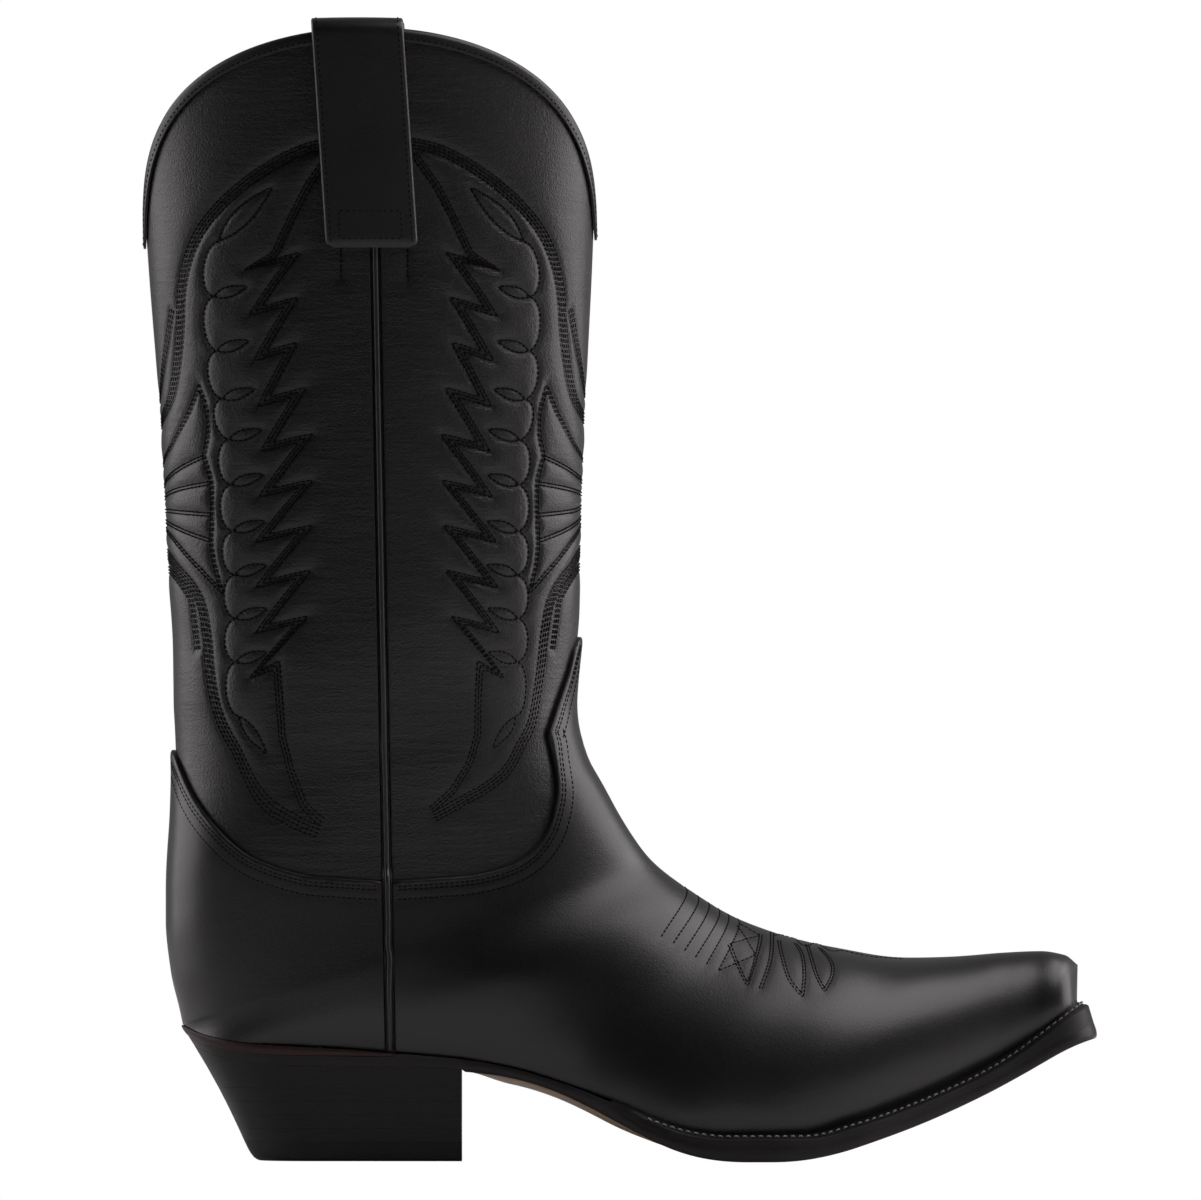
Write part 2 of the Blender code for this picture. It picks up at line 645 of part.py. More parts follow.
def plate(name, rows, grow, bottom_rise, top_rise, finish):
    """A flat layer over the feather line's plan, between two heights above the feather line."""
    def edge(e, side, rise):
        return plan_point(e, side, curve(grow, base_end(e)[0]), feather_z(e) + rise)

    upper = ladder(lambda e, side: edge(e, side, top_rise), rows)
    lower = ladder(lambda e, side: edge(e, side, bottom_rise), rows)
    return slab(name, upper, lower, len(rows), FINISHES[finish])


def strip_depth(e):
    """Depth taken up between the upper and the outsole by the rand or the welt."""
    return curve(STRIP_DEPTH, base_end(e)[0])


def sole_top_z(e):
    return feather_z(e) - GAP - strip_depth(e)


def sole_top_point(e, side):
    if e <= E_BREAST:
        return heel_point(e, side, sole_top_z(e))
    return plan_point(e, side, curve(SOLE_GROW, base_end(e)[0]), sole_top_z(e))


def sole_edge_point(e, side):
    """The lower edge of the outsole: the heel seat, then the waist and the tread."""
    if e <= E_BREAST:
        return heel_point(e, side, sole_top_z(e) - SEAT_THICKNESS)
    point = plan_point(e, side, curve(SOLE_GROW, base_end(e)[0]), 0)
    point[2] = curve(SOLE_BOTTOM_Z, point[0])
    return point


def build_outsole():
    rows = between(0, E_TOE)
    shares = (0, 0.22, 0.5, 0.78, 1)
    upper = ladder(sole_top_point, rows, shares)
    lower = ladder(sole_edge_point, rows, shares)
    for k, point in enumerate(lower):
        share = shares[k % len(shares)]
        point[2] -= curve(WAIST_CROWN, point[0]) * 4 * share * (1 - share)
    return slab("outsole", upper, lower, len(rows), FINISHES["sole"])


def band_ring(e, side, outer_top, outer_bottom, inner):
    """The section of a strip that lies along the feather line."""
    top = feather_z(e) - GAP
    bottom = feather_z(e) - strip_depth(e)
    return [
        outer_top(e, side, top),
        outer_bottom(e, side, bottom),
        plan_point(e, side, inner, bottom),
        plan_point(e, side, inner, top),
    ]


def welt_edge(e, side, z):
    return plan_point(e, side, curve(SOLE_GROW, base_end(e)[0]), z)


def build_welt_and_rand():
    welt_rows = between(WELT_START_E, E_TOE)
    stations = [(e, -1) for e in welt_rows] + [(e, 1) for e in reversed(welt_rows[:-1])]
    rings = [band_ring(e, side, welt_edge, welt_edge, WELT_INNER) for e, side in stations]
    tube("welt", rings, FINISHES["welt"])
    rand_rows = between(0, RAND_END_E)
    stations = [(e, -1) for e in reversed(rand_rows)] + [(e, 1) for e in rand_rows[1:]]
    rings = [band_ring(e, side, heel_point, heel_point, RAND_INNER) for e, side in stations]
    tube("heel_rand", rings, FINISHES["rand"])


def build_inner_bottom():
    insole_top = INSOLE_RISE + INSOLE_THICKNESS
    rows = between(0, E_TOE_ROUND)
    insole = plate("insole", rows, INNER_OUTLINE, INSOLE_RISE, insole_top, "insole")
    pad_bottom = insole_top + GAP
    plate("heel_pad", between(0, E_BREAST), HEEL_PAD_OUTLINE, pad_bottom, pad_bottom + HEEL_PAD_THICKNESS,
          "lining")
    cork_rows = between(CORK_START_E, E_TOE_ROUND)
    full_strip = STRIP_DEPTH[-1][1]
    plate("cork_filler", cork_rows, INNER_OUTLINE, -full_strip, INSOLE_RISE - GAP, "cork")
    return insole


def build_shank():
    """A spring steel strip under the arch, rounded off in plan at both ends."""
    rings = []
    for k in range(SHANK_STATIONS):
        t = k / (SHANK_STATIONS - 1)
        x = SHANK_X[0] + (SHANK_X[1] - SHANK_X[0]) * t
        half = SHANK_HALF_WIDTH * (0.55 + 0.45 * math.sqrt(1 - (2 * t - 1) ** 4))
        low = curve(FEATHER_Z, x) + SHANK_RISE
        high = low + SHANK_THICKNESS
        rings.append([(x, -half, low), (x, half, low), (x, half, high), (x, -half, high)])
    tube("shank", rings, FINISHES["steel"])


def build_heel():
    """The lifts from the seat down, and the cap. The top lift is hollowed to fit the seat."""
    rows = between(0, E_BREAST)
    pieces = []
    for k in range(LIFTS):
        low = CAP_THICKNESS + GAP + (LIFTS - 1 - k) * (LIFT_THICKNESS + GAP)
        high = low + LIFT_THICKNESS
        if k == 0:
            upper = ladder(lambda e, side: heel_point(e, side, sole_top_z(e) - SEAT_THICKNESS - GAP), rows)
        else:
            upper = ladder(lambda e, side, z=high: heel_point(e, side, z), rows)
        lower = ladder(lambda e, side, z=low: heel_point(e, side, z), rows)
        pieces.append(slab(f"heel_lift_{k + 1}", upper, lower, len(rows), FINISHES["heel"]))
    upper = ladder(lambda e, side: heel_point(e, side, CAP_THICKNESS, CAP_PROUD), rows)
    lower = ladder(lambda e, side: heel_point(e, side, 0, CAP_PROUD), rows)
    pieces.append(slab("heel_cap", upper, lower, len(rows), FINISHES["rubber"]))
    return pieces


def nail_mesh(name, length, grow=0.0, head_reach=0.0):
    """A nail along -Z with its head's outer face at the origin. A cutter's nail is grown all round."""
    profile = (
        (NAIL_HEAD_RADIUS + grow, head_reach),
        (NAIL_HEAD_RADIUS + grow, -NAIL_HEAD_THICKNESS - grow),
        (NAIL_RADIUS + grow, -NAIL_HEAD_THICKNESS - grow),
        (NAIL_RADIUS + grow, -length + 2 * NAIL_RADIUS),
        (0.4 * NAIL_RADIUS + grow, -length - grow),
    )
    rings = []
    for radius, z in profile:
        turns = [2 * math.pi * k / NAIL_SIDES for k in range(NAIL_SIDES)]
        rings.append([np.array((radius * math.cos(a), radius * math.sin(a), z)) for a in turns])
    obj = tube(name, rings, FINISHES["steel"])
    mesh = obj.data
    bpy.data.objects.remove(obj)
    return mesh


def drive_nails(name, places, length, heights, upward, pieces):
    """Nails of one kind, each in a clearance hole through the pieces it holds."""
    mesh = nail_mesh(name, length)
    hole_mesh = nail_mesh(name + "_hole", length, GAP, 3.0)
    for k, (x, y) in enumerate(places):
        origin = (x, y, heights[k])
        nail = place_mesh(f"{name}_{k + 1}", mesh, origin)
        hole = make_cutter(place_mesh(f"{name}_hole_{k + 1}", hole_mesh, origin))
        if upward:
            nail.rotation_euler.x = math.pi
            hole.rotation_euler.x = math.pi
        for piece in pieces:
            cut(piece, hole)


def build_nails(insole, outsole, lifts, cap):
    head_rise = INSOLE_RISE + INSOLE_THICKNESS - NAIL_RECESS
    heights = [curve(FEATHER_Z, x) + head_rise for x, _ in HEEL_NAILS]
    drive_nails("heel_nail", HEEL_NAILS, HEEL_NAIL_LENGTH, heights, False, [insole, outsole, *lifts[:4]])
    cap_heights = [NAIL_RECESS] * len(CAP_NAILS)
    drive_nails("cap_nail", CAP_NAILS, CAP_NAIL_LENGTH, cap_heights, True, [cap, lifts[-1]])


# ---------------------------------------------------------------- the boot

def clear_scene():
    for obj in list(bpy.data.objects):
        bpy.data.objects.remove(obj, do_unlink=True)


def make_finishes():
    return {
        "foot_leather": material("black_foot_leather", (0.012, 0.011, 0.011), 0.28),
        "leg_leather": material("black_leg_leather", (0.014, 0.013, 0.013), 0.36),
        "trim": material("black_trim_leather", (0.01, 0.009, 0.009), 0.45),
        "lining": material("tan_lining_leather", (0.42, 0.27, 0.15), 0.7),
        "stiffener": material("fibre_stiffener", (0.5, 0.4, 0.28), 0.85),
        "insole": material("insole_leather", (0.55, 0.38, 0.22), 0.7),
        "cork": material("cork", (0.36, 0.22, 0.11), 0.9),
        "welt": material("black_welt", (0.02, 0.018, 0.018), 0.5),
        "rand": material("red_brown_rand", (0.07, 0.02, 0.015), 0.5),
        "sole": material("sole_leather", (0.2, 0.12, 0.06), 0.5),
        "heel": material("black_heel_leather", (0.015, 0.014, 0.014), 0.3),
        "rubber": material("black_rubber", (0.012, 0.012, 0.012), 0.6),
        "steel": material("steel", (0.5, 0.5, 0.5), 0.35, 1.0),
        "guide": material("guide", (0.8, 0.8, 0.8), 0.5),
    }


clear_scene()
FINISHES = make_finishes()
build_leg_leather()
build_foot_leather()
build_binding()
build_piping("side_seam_piping_lateral", -1)
build_piping("side_seam_piping_medial", 1)
build_strap("pull_strap_lateral", -1)
build_strap("pull_strap_medial", 1)
outsole = build_outsole()
build_welt_and_rand()
insole = build_inner_bottom()
build_shank()
*lifts, cap = build_heel()
build_nails(insole, outsole, lifts, cap)
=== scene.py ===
"""Looks of the western boot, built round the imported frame.

The upper is the frame's own surface, with a row coordinate e down the leg, round the heel
and along the feather line to the toe, and a column coordinate c round the boot: 0 is the
front centre line, +-0.5 the side seams and +-1 the back centre line or the feather line.
Negative c is the lateral side. Lengths are in millimetres of the design, and MM, read from
the frame's boxes, turns them into metres of the frame.
"""

import math

import bpy
import numpy as np
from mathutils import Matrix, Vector, kdtree


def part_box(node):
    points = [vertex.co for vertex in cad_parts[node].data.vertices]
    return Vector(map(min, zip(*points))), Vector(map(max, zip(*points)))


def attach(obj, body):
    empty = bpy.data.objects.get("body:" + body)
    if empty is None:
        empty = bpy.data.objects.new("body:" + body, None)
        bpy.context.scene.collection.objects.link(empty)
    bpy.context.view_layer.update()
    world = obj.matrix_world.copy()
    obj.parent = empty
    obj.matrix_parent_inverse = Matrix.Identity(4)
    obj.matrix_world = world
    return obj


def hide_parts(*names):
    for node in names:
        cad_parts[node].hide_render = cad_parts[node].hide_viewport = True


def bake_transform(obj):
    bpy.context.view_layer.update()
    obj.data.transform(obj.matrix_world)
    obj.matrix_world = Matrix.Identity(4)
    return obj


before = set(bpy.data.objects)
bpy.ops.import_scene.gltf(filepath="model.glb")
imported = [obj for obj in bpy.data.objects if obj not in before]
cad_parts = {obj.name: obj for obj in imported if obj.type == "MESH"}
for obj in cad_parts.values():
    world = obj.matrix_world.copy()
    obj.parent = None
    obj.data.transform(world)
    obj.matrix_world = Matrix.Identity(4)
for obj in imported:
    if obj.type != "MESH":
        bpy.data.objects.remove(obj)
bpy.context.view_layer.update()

DESIGN_HEIGHT = 377.0
MM = (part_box("top_binding")[1].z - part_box("heel_cap")[0].z) / DESIGN_HEIGHT
SIDES = ((-1, "lateral"), (1, "medial"))

# Leg of the boot, against height
ANKLE_Z = 137.0
LEG_FRONT = ((100, 84), (137, 74), (153, 72.3), (187, 73), (253, 75), (303, 77.3), (390, 80))
LEG_BACK = ((100, -64), (137, -61.7), (170, -62), (200, -64), (253, -66.7), (296, -70), (390, -76))
LEG_HALF_WIDTH = ((100, 37), (137, 37.5), (200, 39), (300, 40.5), (390, 42.5))
TOP_PEAK = 375.3
FRONT_SCALLOP = (295.6, 0.61)
BACK_SCALLOP = (288.6, 0.55)
SCALLOP_NOTCH = 0.1
SEAM_FOOT_X = 11.0
SEAM_LEAN = 0.0187

# Foot of the boot
BACK_X = ((45.3, -59), (50, -60), (63, -63), (80, -64.7), (90, -64.7), (120, -63), (137, -61.7))
RIDGE_Z = ((74, 137), (80, 127), (88.3, 112), (97, 100), (110, 90), (127, 80), (147, 73.3),
           (163, 70), (180, 67.4), (197, 67.7), (213, 69), (227, 69.6), (235, 68.3), (239.3, 65))
FEATHER_Z = ((-59, 45.3), (-52, 42.3), (-45, 40.6), (-35, 39.3), (-3, 37.4), (20, 35.6),
             (35, 34.2), (50, 31.6), (63, 28), (75, 24), (88, 18.8), (103, 12.6), (113, 9.8),
             (122, 8.9), (147, 8.9), (163, 12.8), (180, 18.6), (198, 26.2), (217, 35.7),
             (234, 46), (240, 50))
SOLE_BOTTOM_Z = ((34, 30.2), (48, 28.6), (63, 24.4), (75, 19), (88, 11.6), (103, 4.2), (112, 1),
                 (116, 0), (150, 0), (158, 2), (163, 3.8), (180, 9.3), (198, 16.8), (217, 26),
                 (234, 36.2), (245, 42.8))
HEEL_RADIUS = 29.0
HEEL_CENTRE_X = -30.0
TOE_ROUND_X = 227.0
TOE_TIP_X = 239.0
TOE_SQUARENESS = 3.2
PLAN_HALF_WIDTH = ((-30, 29), (10, 29), (35, 28.5), (60, 30), (85, 37.5), (110, 44.5), (135, 45.5),
                   (160, 39.5), (185, 29), (205, 20.5), (220, 15.5), (239, 12.5))
PLAN_CENTRE_Y = ((0, 0), (35, -1.5), (60, -2.5), (85, -3), (110, -1.5), (135, 1), (160, 2.5),
                 (190, 4), (215, 5), (245, 6))

# Rows of the surface
E_TOP = -332.0
E_ANKLE = -92.0
HEEL_ARC = HEEL_RADIUS * math.pi / 2
BREAST_X = 34.0
E_BREAST = HEEL_ARC + BREAST_X - HEEL_CENTRE_X
E_TOE_ROUND = HEEL_ARC + TOE_ROUND_X - HEEL_CENTRE_X
TOE_ARC = 22.0
E_TOE = E_TOE_ROUND + TOE_ARC
RIDGE_X = ((-92, 74), (0, 97), (46, 105), (110, 119), (160, 137), (210, 165), (255, 195),
           (289, 218), (E_TOE_ROUND, 227.5), (E_TOE, 239.3))
WIDEST = ((-92, 37.5), (-60, 36), (-20, 35), (20, 35.5), (60, 35.5), (110, 34), (135, 35),
          (160, 40.5), (185, 47), (210, 48), (233, 43.5), (255, 35), (275, 26.5), (289, 20.5),
          (302, 16.5), (325, 14.8))
BACK_FULLNESS = ((-92, 2), (-50, 2.5), (60, 2.5), (110, 2))
WIDEST_AT = ((-92, 0.483), (0, 0.55), (60, 0.58), (110, 0.62), (135, 0.7), (160, 0.78), (210, 0.83),
             (255, 0.8), (302, 0.72), (325, 0.7))
LAP = 2.1

# Seams in side view, as (x, z). A point given twice is a corner.
VAMP_TOP = ((9.4, 93.3), (24, 94.2), (40, 95.7), (53.3, 100), (61.7, 108.3), (65.6, 120),
            (65.7, 130), (63.3, 142.7), (63.3, 142.7), (66.4, 151.3), (69.6, 161), (71.9, 172),
            (75, 180))
COUNTER_TOP = ((9.4, 93.3), (-6, 94.2), (-20, 95.7), (-36.7, 101.7), (-48.3, 111.7),
               (-56.7, 123.3), (-62.5, 138))

# Bottom of the boot
SOLE_GROW = ((-60, 0.6), (20, 1), (40, 1), (70, 1.2), (90, 3.6), (110, 5), (215, 5), (245, 4.5))
STRIP_DEPTH = ((-60, 3.5), (-30, 3.1), (12, 1.2), (30, 0), (76, 0), (84, 1.2), (96, 3.4),
               (245, 3.4))
SOLE_DROP = ((-60, 3.5), (-30, 3.1), (11, 1.2), (13.5, 0), (84.5, 0), (89, 2), (96, 3.4),
             (245, 3.4))
WAIST_CROWN = ((36, 0), (50, 2.4), (80, 2.4), (104, 0))
SEAT_THICKNESS = 3.3
CAP_THICKNESS = 6.4
LIFT_PITCH = 4.5
LIFTS = 5


# ---------------------------------------------------------------- curves

def curve(knots, x):
    """A smooth curve through the knots that never overshoots them, held level past both ends."""
    xs, ys = np.array(knots, float).T
    x = np.clip(x, xs[0], xs[-1])
    steps = np.diff(xs)
    rises = np.diff(ys) / steps
    product = rises[:-1] * rises[1:]
    total = np.where(product > 0, rises[:-1] + rises[1:], 1)
    slopes = np.concatenate([rises[:1], np.where(product > 0, 2 * product / total, 0), rises[-1:]])
    i = np.clip(np.searchsorted(xs, x, side="right") - 1, 0, len(steps) - 1)
    t = (x - xs[i]) / steps[i]
    return (
        (2 * t**3 - 3 * t**2 + 1) * ys[i]
        + (t**3 - 2 * t**2 + t) * slopes[i] * steps[i]
        + (3 * t**2 - 2 * t**3) * ys[i + 1]
        + (t**3 - t**2) * slopes[i + 1] * steps[i]
    )


def smooth_step(x, start, end):
    t = np.clip((x - start) / (end - start), 0, 1)
    return t * t * (3 - 2 * t)


def smooth_path(points, steps=10):
    """A curve through the points. A point given twice is a sharp corner."""
    points = np.array(points, float)
    ends = np.concatenate([points[:1], points, points[-1:]])
    path = []
    for a, b, c, d in zip(ends, ends[1:], ends[2:], ends[3:]):
        for t in np.arange(steps) / steps:
            if np.any(b != c):
                path.append(b + (c - a) * t / 2 + (2 * a - 5 * b + 4 * c - d) * t**2 / 2
                            + (3 * b - a - 3 * c + d) * t**3 / 2)
    return np.array(path + [points[-1]])


def seam_x(z):
    """The side seam, which leans back slightly as it rises."""
    return SEAM_FOOT_X - SEAM_LEAN * z


def unit(vectors):
    return vectors / np.maximum(np.linalg.norm(vectors, axis=-1, keepdims=True), 1e-9)


def lengths_along(points):
    """The distance of each point from the first one, along the path through them."""
    return np.concatenate([[0], np.cumsum(np.linalg.norm(np.diff(points, axis=0), axis=1))])


def along_path(distances, lengths, points):
    """Places at these distances along a path."""
    return np.stack([np.interp(distances, lengths, part) for part in points.T], axis=1)


# ---------------------------------------------------------------- surface of the upper

ANKLE_ROUNDING = 22.0
FOOT_ROUNDING = 14.0
ROUNDING_ENTRY = 60.0
ROUNDING_EXIT = (E_TOE_ROUND - 40, E_TOE_ROUND - 8)
ROUNDING_TAPS = 7
ROW_STEP = 0.5
COLUMN_STEP = 0.004

# Where the shaft leather starts to sink at the front and back, how much lower on the sides,
# and how far above and below that row the sinking lasts
LAP_ROW = -134.0
LAP_SIDE = 42.0
LAP_REACH = (-24.0, 28.0)


def topline_z(angle):
    front = angle < math.pi / 2
    low = np.where(front, FRONT_SCALLOP[0], BACK_SCALLOP[0])
    power = np.where(front, FRONT_SCALLOP[1], BACK_SCALLOP[1])
    sideways = np.abs(np.sin(angle))
    rounded = SCALLOP_NOTCH**power * (1 - power / 2 * (1 - (sideways / SCALLOP_NOTCH) ** 2))
    return low + (TOP_PEAK - low) * np.where(sideways >= SCALLOP_NOTCH, sideways**power, rounded)


def leg_reach(z, front):
    middle = seam_x(z)
    return np.where(front, curve(LEG_FRONT, z) - middle, middle - curve(LEG_BACK, z))


def leg_point(z, angle):
    """The leg is two half ellipses that meet at the side seams."""
    x = seam_x(z) + leg_reach(z, angle < math.pi / 2) * np.cos(angle)
    return x, curve(LEG_HALF_WIDTH, z) * np.sin(angle), z


def toe_share(e):
    return np.sin(math.pi / 2 * np.clip((e - E_TOE_ROUND) / TOE_ARC, 0, 1))


def toe_rounding(e):
    return np.maximum(0, 1 - toe_share(e) ** TOE_SQUARENESS) ** (1 / TOE_SQUARENESS)


def base_end(e):
    """Where row e ends low down: x, z and half width, on the back centre line or the feather line."""
    e = np.asarray(e, float)
    back_z = FEATHER_Z[0][1] + (ANKLE_Z - FEATHER_Z[0][1]) * np.minimum(e, 0) / E_ANKLE
    turn = np.clip(e, 0, HEEL_ARC) / HEEL_RADIUS
    heel_x = HEEL_CENTRE_X - HEEL_RADIUS * np.cos(turn)
    side_x = HEEL_CENTRE_X + e - HEEL_ARC
    toe_x = TOE_ROUND_X + (TOE_TIP_X - TOE_ROUND_X) * toe_share(e)
    x = np.where(e <= 0, curve(BACK_X, back_z), np.where(e < HEEL_ARC, heel_x, side_x))
    x = np.where(e > E_TOE_ROUND, toe_x, x)
    z = np.where(e <= 0, back_z, curve(FEATHER_Z, x))
    side_half = curve(PLAN_HALF_WIDTH, x) * toe_rounding(e)
    half = np.where(e < HEEL_ARC, HEEL_RADIUS * np.sin(turn), side_half)
    return x, z, half


def last_angle(e, base_half, widest):
    share = np.clip(base_half / np.maximum(widest, 1e-6), 0, 1)
    return np.where(widest < 1e-6, math.pi / 4, np.arccos(share ** (curve(BACK_FULLNESS, e) / 2)))


def foot_point(e, c):
    """Each row of the foot is a slice from the ridge to the feather line, widest part way down."""
    ridge_x = curve(RIDGE_X, e)
    ridge_z = curve(RIDGE_Z, ridge_x)
    base_x, base_z, base_half = base_end(e)
    widest = curve(WIDEST, e) * toe_rounding(e)
    widest_at = curve(WIDEST_AT, e)
    power = 2 / curve(BACK_FULLNESS, e)
    last = last_angle(e, base_half, widest)
    upper = math.pi * np.abs(c)
    lower = np.maximum(np.abs(c) - 0.5, 0) * 2 * last
    share = (np.sin(lower) / np.sin(last)) ** power
    above = np.abs(c) <= 0.5
    along = np.where(above, widest_at * (1 - np.cos(upper)), widest_at + (1 - widest_at) * share)
    half = widest * np.where(above, np.sin(upper), np.maximum(np.cos(lower), 0) ** power)
    x = ridge_x + (base_x - ridge_x) * along
    z = ridge_z + (base_z - ridge_z) * along
    centre = curve(PLAN_CENTRE_Y, x) * smooth_step(e, 0, 110)
    return x, centre + np.copysign(half, c), z


def joined_point(e, c):
    """The leg above the ankle and the foot below it, which meet at an angle."""
    e, c = np.broadcast_arrays(np.asarray(e, float), np.asarray(c, float))
    c = np.where(c > 1, c - 2, np.where(c < -1, c + 2, c))
    angle = math.pi * np.abs(c)
    up = np.maximum(0, (E_ANKLE - e) / (E_ANKLE - E_TOP))
    leg = leg_point(ANKLE_Z + (topline_z(angle) - ANKLE_Z) * up, angle)
    foot = foot_point(np.maximum(e, E_ANKLE), c)
    on_leg = e < E_ANKLE
    return np.stack([
        np.where(on_leg, leg[0], foot[0]),
        np.where(on_leg, np.copysign(leg[1], c), foot[1]),
        np.where(on_leg, leg[2], foot[2]),
    ], axis=-1)


def rounding_reach(e, c):
    """How far along the rows the surface is averaged: most at the ankle, none at the feather line."""
    turned = 1 - np.abs(1 - np.abs(c))
    ankle = ANKLE_ROUNDING * np.exp(-(((e - E_ANKLE) / ANKLE_ROUNDING) ** 2))
    on_foot = smooth_step(e, E_ANKLE, E_ANKLE + ROUNDING_ENTRY) * (1 - smooth_step(e, *ROUNDING_EXIT))
    return ankle + FOOT_ROUNDING * on_foot * (1 - smooth_step(turned, 0.5, 1))


def base_point(e, c):
    """The base surface as an array of points, with the angles between its parts rounded."""
    e, c = np.broadcast_arrays(np.asarray(e, float), np.asarray(c, float))
    points = joined_point(e, c)
    reach = rounding_reach(e, c)
    near = reach > 0.1
    shares = np.hanning(ROUNDING_TAPS + 2)[1:-1]
    taps = zip(shares / shares.sum(), np.linspace(-1, 1, ROUNDING_TAPS))
    row, column, reach = e[near], c[near], reach[near]
    points[near] = sum(share * joined_point(row + step * reach, column) for share, step in taps)
    return points


def slopes_at(e, c):
    """How the surface moves with e and with c."""
    low, high = np.maximum(E_TOP, e - ROW_STEP), np.minimum(E_TOE, e + ROW_STEP)
    before, after = c - COLUMN_STEP, c + COLUMN_STEP
    closed = e <= 0
    before = np.where(closed | (c < -1), before, np.maximum(before, -1))
    after = np.where(closed | (c > 1), after, np.minimum(after, 1))
    near = np.minimum(e, E_TOE - ROW_STEP)
    down = (base_point(high, c) - base_point(low, c)) / (high - low)[..., None]
    across = (base_point(near, after) - base_point(near, before)) / (after - before)[..., None]
    return down, across


def normal_at(e, c):
    """Outward normal, turned level towards the feather line so that every layer ends at one height."""
    e, c = np.broadcast_arrays(np.asarray(e, float), np.asarray(c, float))
    normal = np.cross(*slopes_at(e, c))
    low = np.where(e > 0, smooth_step(np.abs(c), 0.93, 1.0), 0)
    normal[..., 2] *= 1 - low
    middle = (e >= E_TOE) | ((e <= 0) & (np.abs(c) == 1)) | (c == 0)
    normal[..., 1] = np.where(middle, 0, normal[..., 1])
    return unit(normal)


def layer_drop(e, c):
    """The shaft leather sinks by one lap under the vamp and the counter."""
    turned = np.minimum(np.abs(c), 2 - np.abs(c))
    start = LAP_ROW + LAP_SIDE * smooth_step(turned, 0.2, 0.8)
    return LAP * smooth_step(e, start + LAP_REACH[0], start + LAP_REACH[1])


def layer_point(e, c, distance):
    return base_point(e, c) + normal_at(e, c) * np.asarray(distance - layer_drop(e, c))[..., None]


def column_at(e, x, z):
    """Column and misfit of side view point (x, z) on row e of the foot."""
    ridge_x = curve(RIDGE_X, e)
    ridge_z = curve(RIDGE_Z, ridge_x)
    base_x, base_z, base_half = base_end(e)
    run, rise = base_x - ridge_x, base_z - ridge_z
    misfit = (x - ridge_x) * rise - (z - ridge_z) * run
    along = ((x - ridge_x) * run + (z - ridge_z) * rise) / (run * run + rise * rise)
    widest_at = curve(WIDEST_AT, e)
    last = last_angle(e, base_half, curve(WIDEST, e))
    share = np.clip((along - widest_at) / (1 - widest_at), 0, 1)
    sine = np.sin(last) * share ** (curve(BACK_FULLNESS, e) / 2)
    upper = np.arccos(np.clip(1 - along / widest_at, -1, 1)) / math.pi
    lower = 0.5 + 0.5 * np.arcsin(np.clip(sine, 0, 1)) / last
    return np.where(along <= widest_at, upper, lower), misfit


def place_on_foot(x, z):
    """Row and column of a side view point on the foot, found by halving the span of rows."""
    low = np.full(np.shape(x), E_ANKLE)
    high = np.full(np.shape(x), E_TOE_ROUND)
    for _ in range(26):
        middle = (low + high) / 2
        beyond = column_at(middle, x, z)[1] > 0
        high = np.where(beyond, middle, high)
        low = np.where(beyond, low, middle)
    return low, column_at(low, x, z)[0]


def place_on_leg(angle, z):
    """Row and column of a place at an angle round the leg, in degrees from the front, and a height."""
    angle = np.radians(angle)
    up = (z - ANKLE_Z) / (topline_z(angle) - ANKLE_Z)
    foot = place_on_foot(leg_point(z, angle)[0], z)
    above = z >= ANKLE_Z
    row = E_ANKLE - (E_ANKLE - E_TOP) * up
    return np.where(above, row, foot[0]), np.where(above, angle / math.pi, foot[1])


def place_in_side_view(x, z):
    """Row and column of the point of the upper seen at (x, z) from the side."""
    middle = seam_x(z)
    cosine = np.clip((x - middle) / leg_reach(z, x > middle), -1, 1)
    leg = place_on_leg(np.degrees(np.arccos(cosine)), z)
    foot = place_on_foot(x, z)
    return np.where(z >= ANKLE_Z, leg[0], foot[0]), np.where(z >= ANKLE_Z, leg[1], foot[1])


# ---------------------------------------------------------------- building meshes

SHARP_ANGLE = math.radians(42)
RIM_LEVELS = (1.0, 0.4, 0.1)


def outward_faces(points, faces):
    """The faces turned so that the solid they enclose is the right way out."""
    corners = [(f[0], f[k], f[k + 1]) for f in faces for k in range(1, len(f) - 1)]
    a, b, c = (points[part] for part in np.array(corners).T)
    return [f[::-1] for f in faces] if (a * np.cross(b, c)).sum() < 0 else faces


def renumbered(count, faces):
    """The points that the faces use, and the faces with those points numbered from zero."""
    used = np.unique(np.concatenate([np.array(f) for f in faces]))
    number = np.zeros(count, int)
    number[used] = np.arange(len(used))
    return used, [tuple(number[list(f)].tolist()) for f in faces]


def link(name, data):
    """An object of the scene with this data."""
    made = bpy.data.objects.new(name, data)
    bpy.context.scene.collection.objects.link(made)
    return made


def set_attribute(mesh, key, values):
    values = np.asarray(values, np.float32)
    mesh.attributes.new(key, "FLOAT", "POINT").data.foreach_set("value", values)


def add_object(name, points, faces, finish, attributes=None, body="boot"):
    """A mesh object from points in millimetres, with smooth shading except at sharp corners."""
    used, faces = renumbered(len(points), faces)
    points = np.asarray(points, float)[used]
    faces = outward_faces(points, faces)
    mesh = bpy.data.meshes.new(name)
    mesh.from_pydata((points * MM).tolist(), [], faces)
    for key, values in (attributes or {}).items():
        set_attribute(mesh, key, values[used])
    mesh.shade_smooth()
    mesh.set_sharp_from_angle(angle=SHARP_ANGLE)
    mesh.materials.append(FINISHES[finish])
    obj = link(name, mesh)
    if body:
        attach(obj, body)
    return obj


def dress(piece, slot, *nodes):
    """Hides the frame's nodes that the piece stands for; the piece and the slot are not used."""
    if nodes:
        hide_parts(*nodes)


def grid_quads(rows, columns):
    a = (np.arange(rows - 1)[:, None] * columns + np.arange(columns - 1)).ravel()
    return np.stack([a, a + 1, a + columns + 1, a + columns], axis=1)


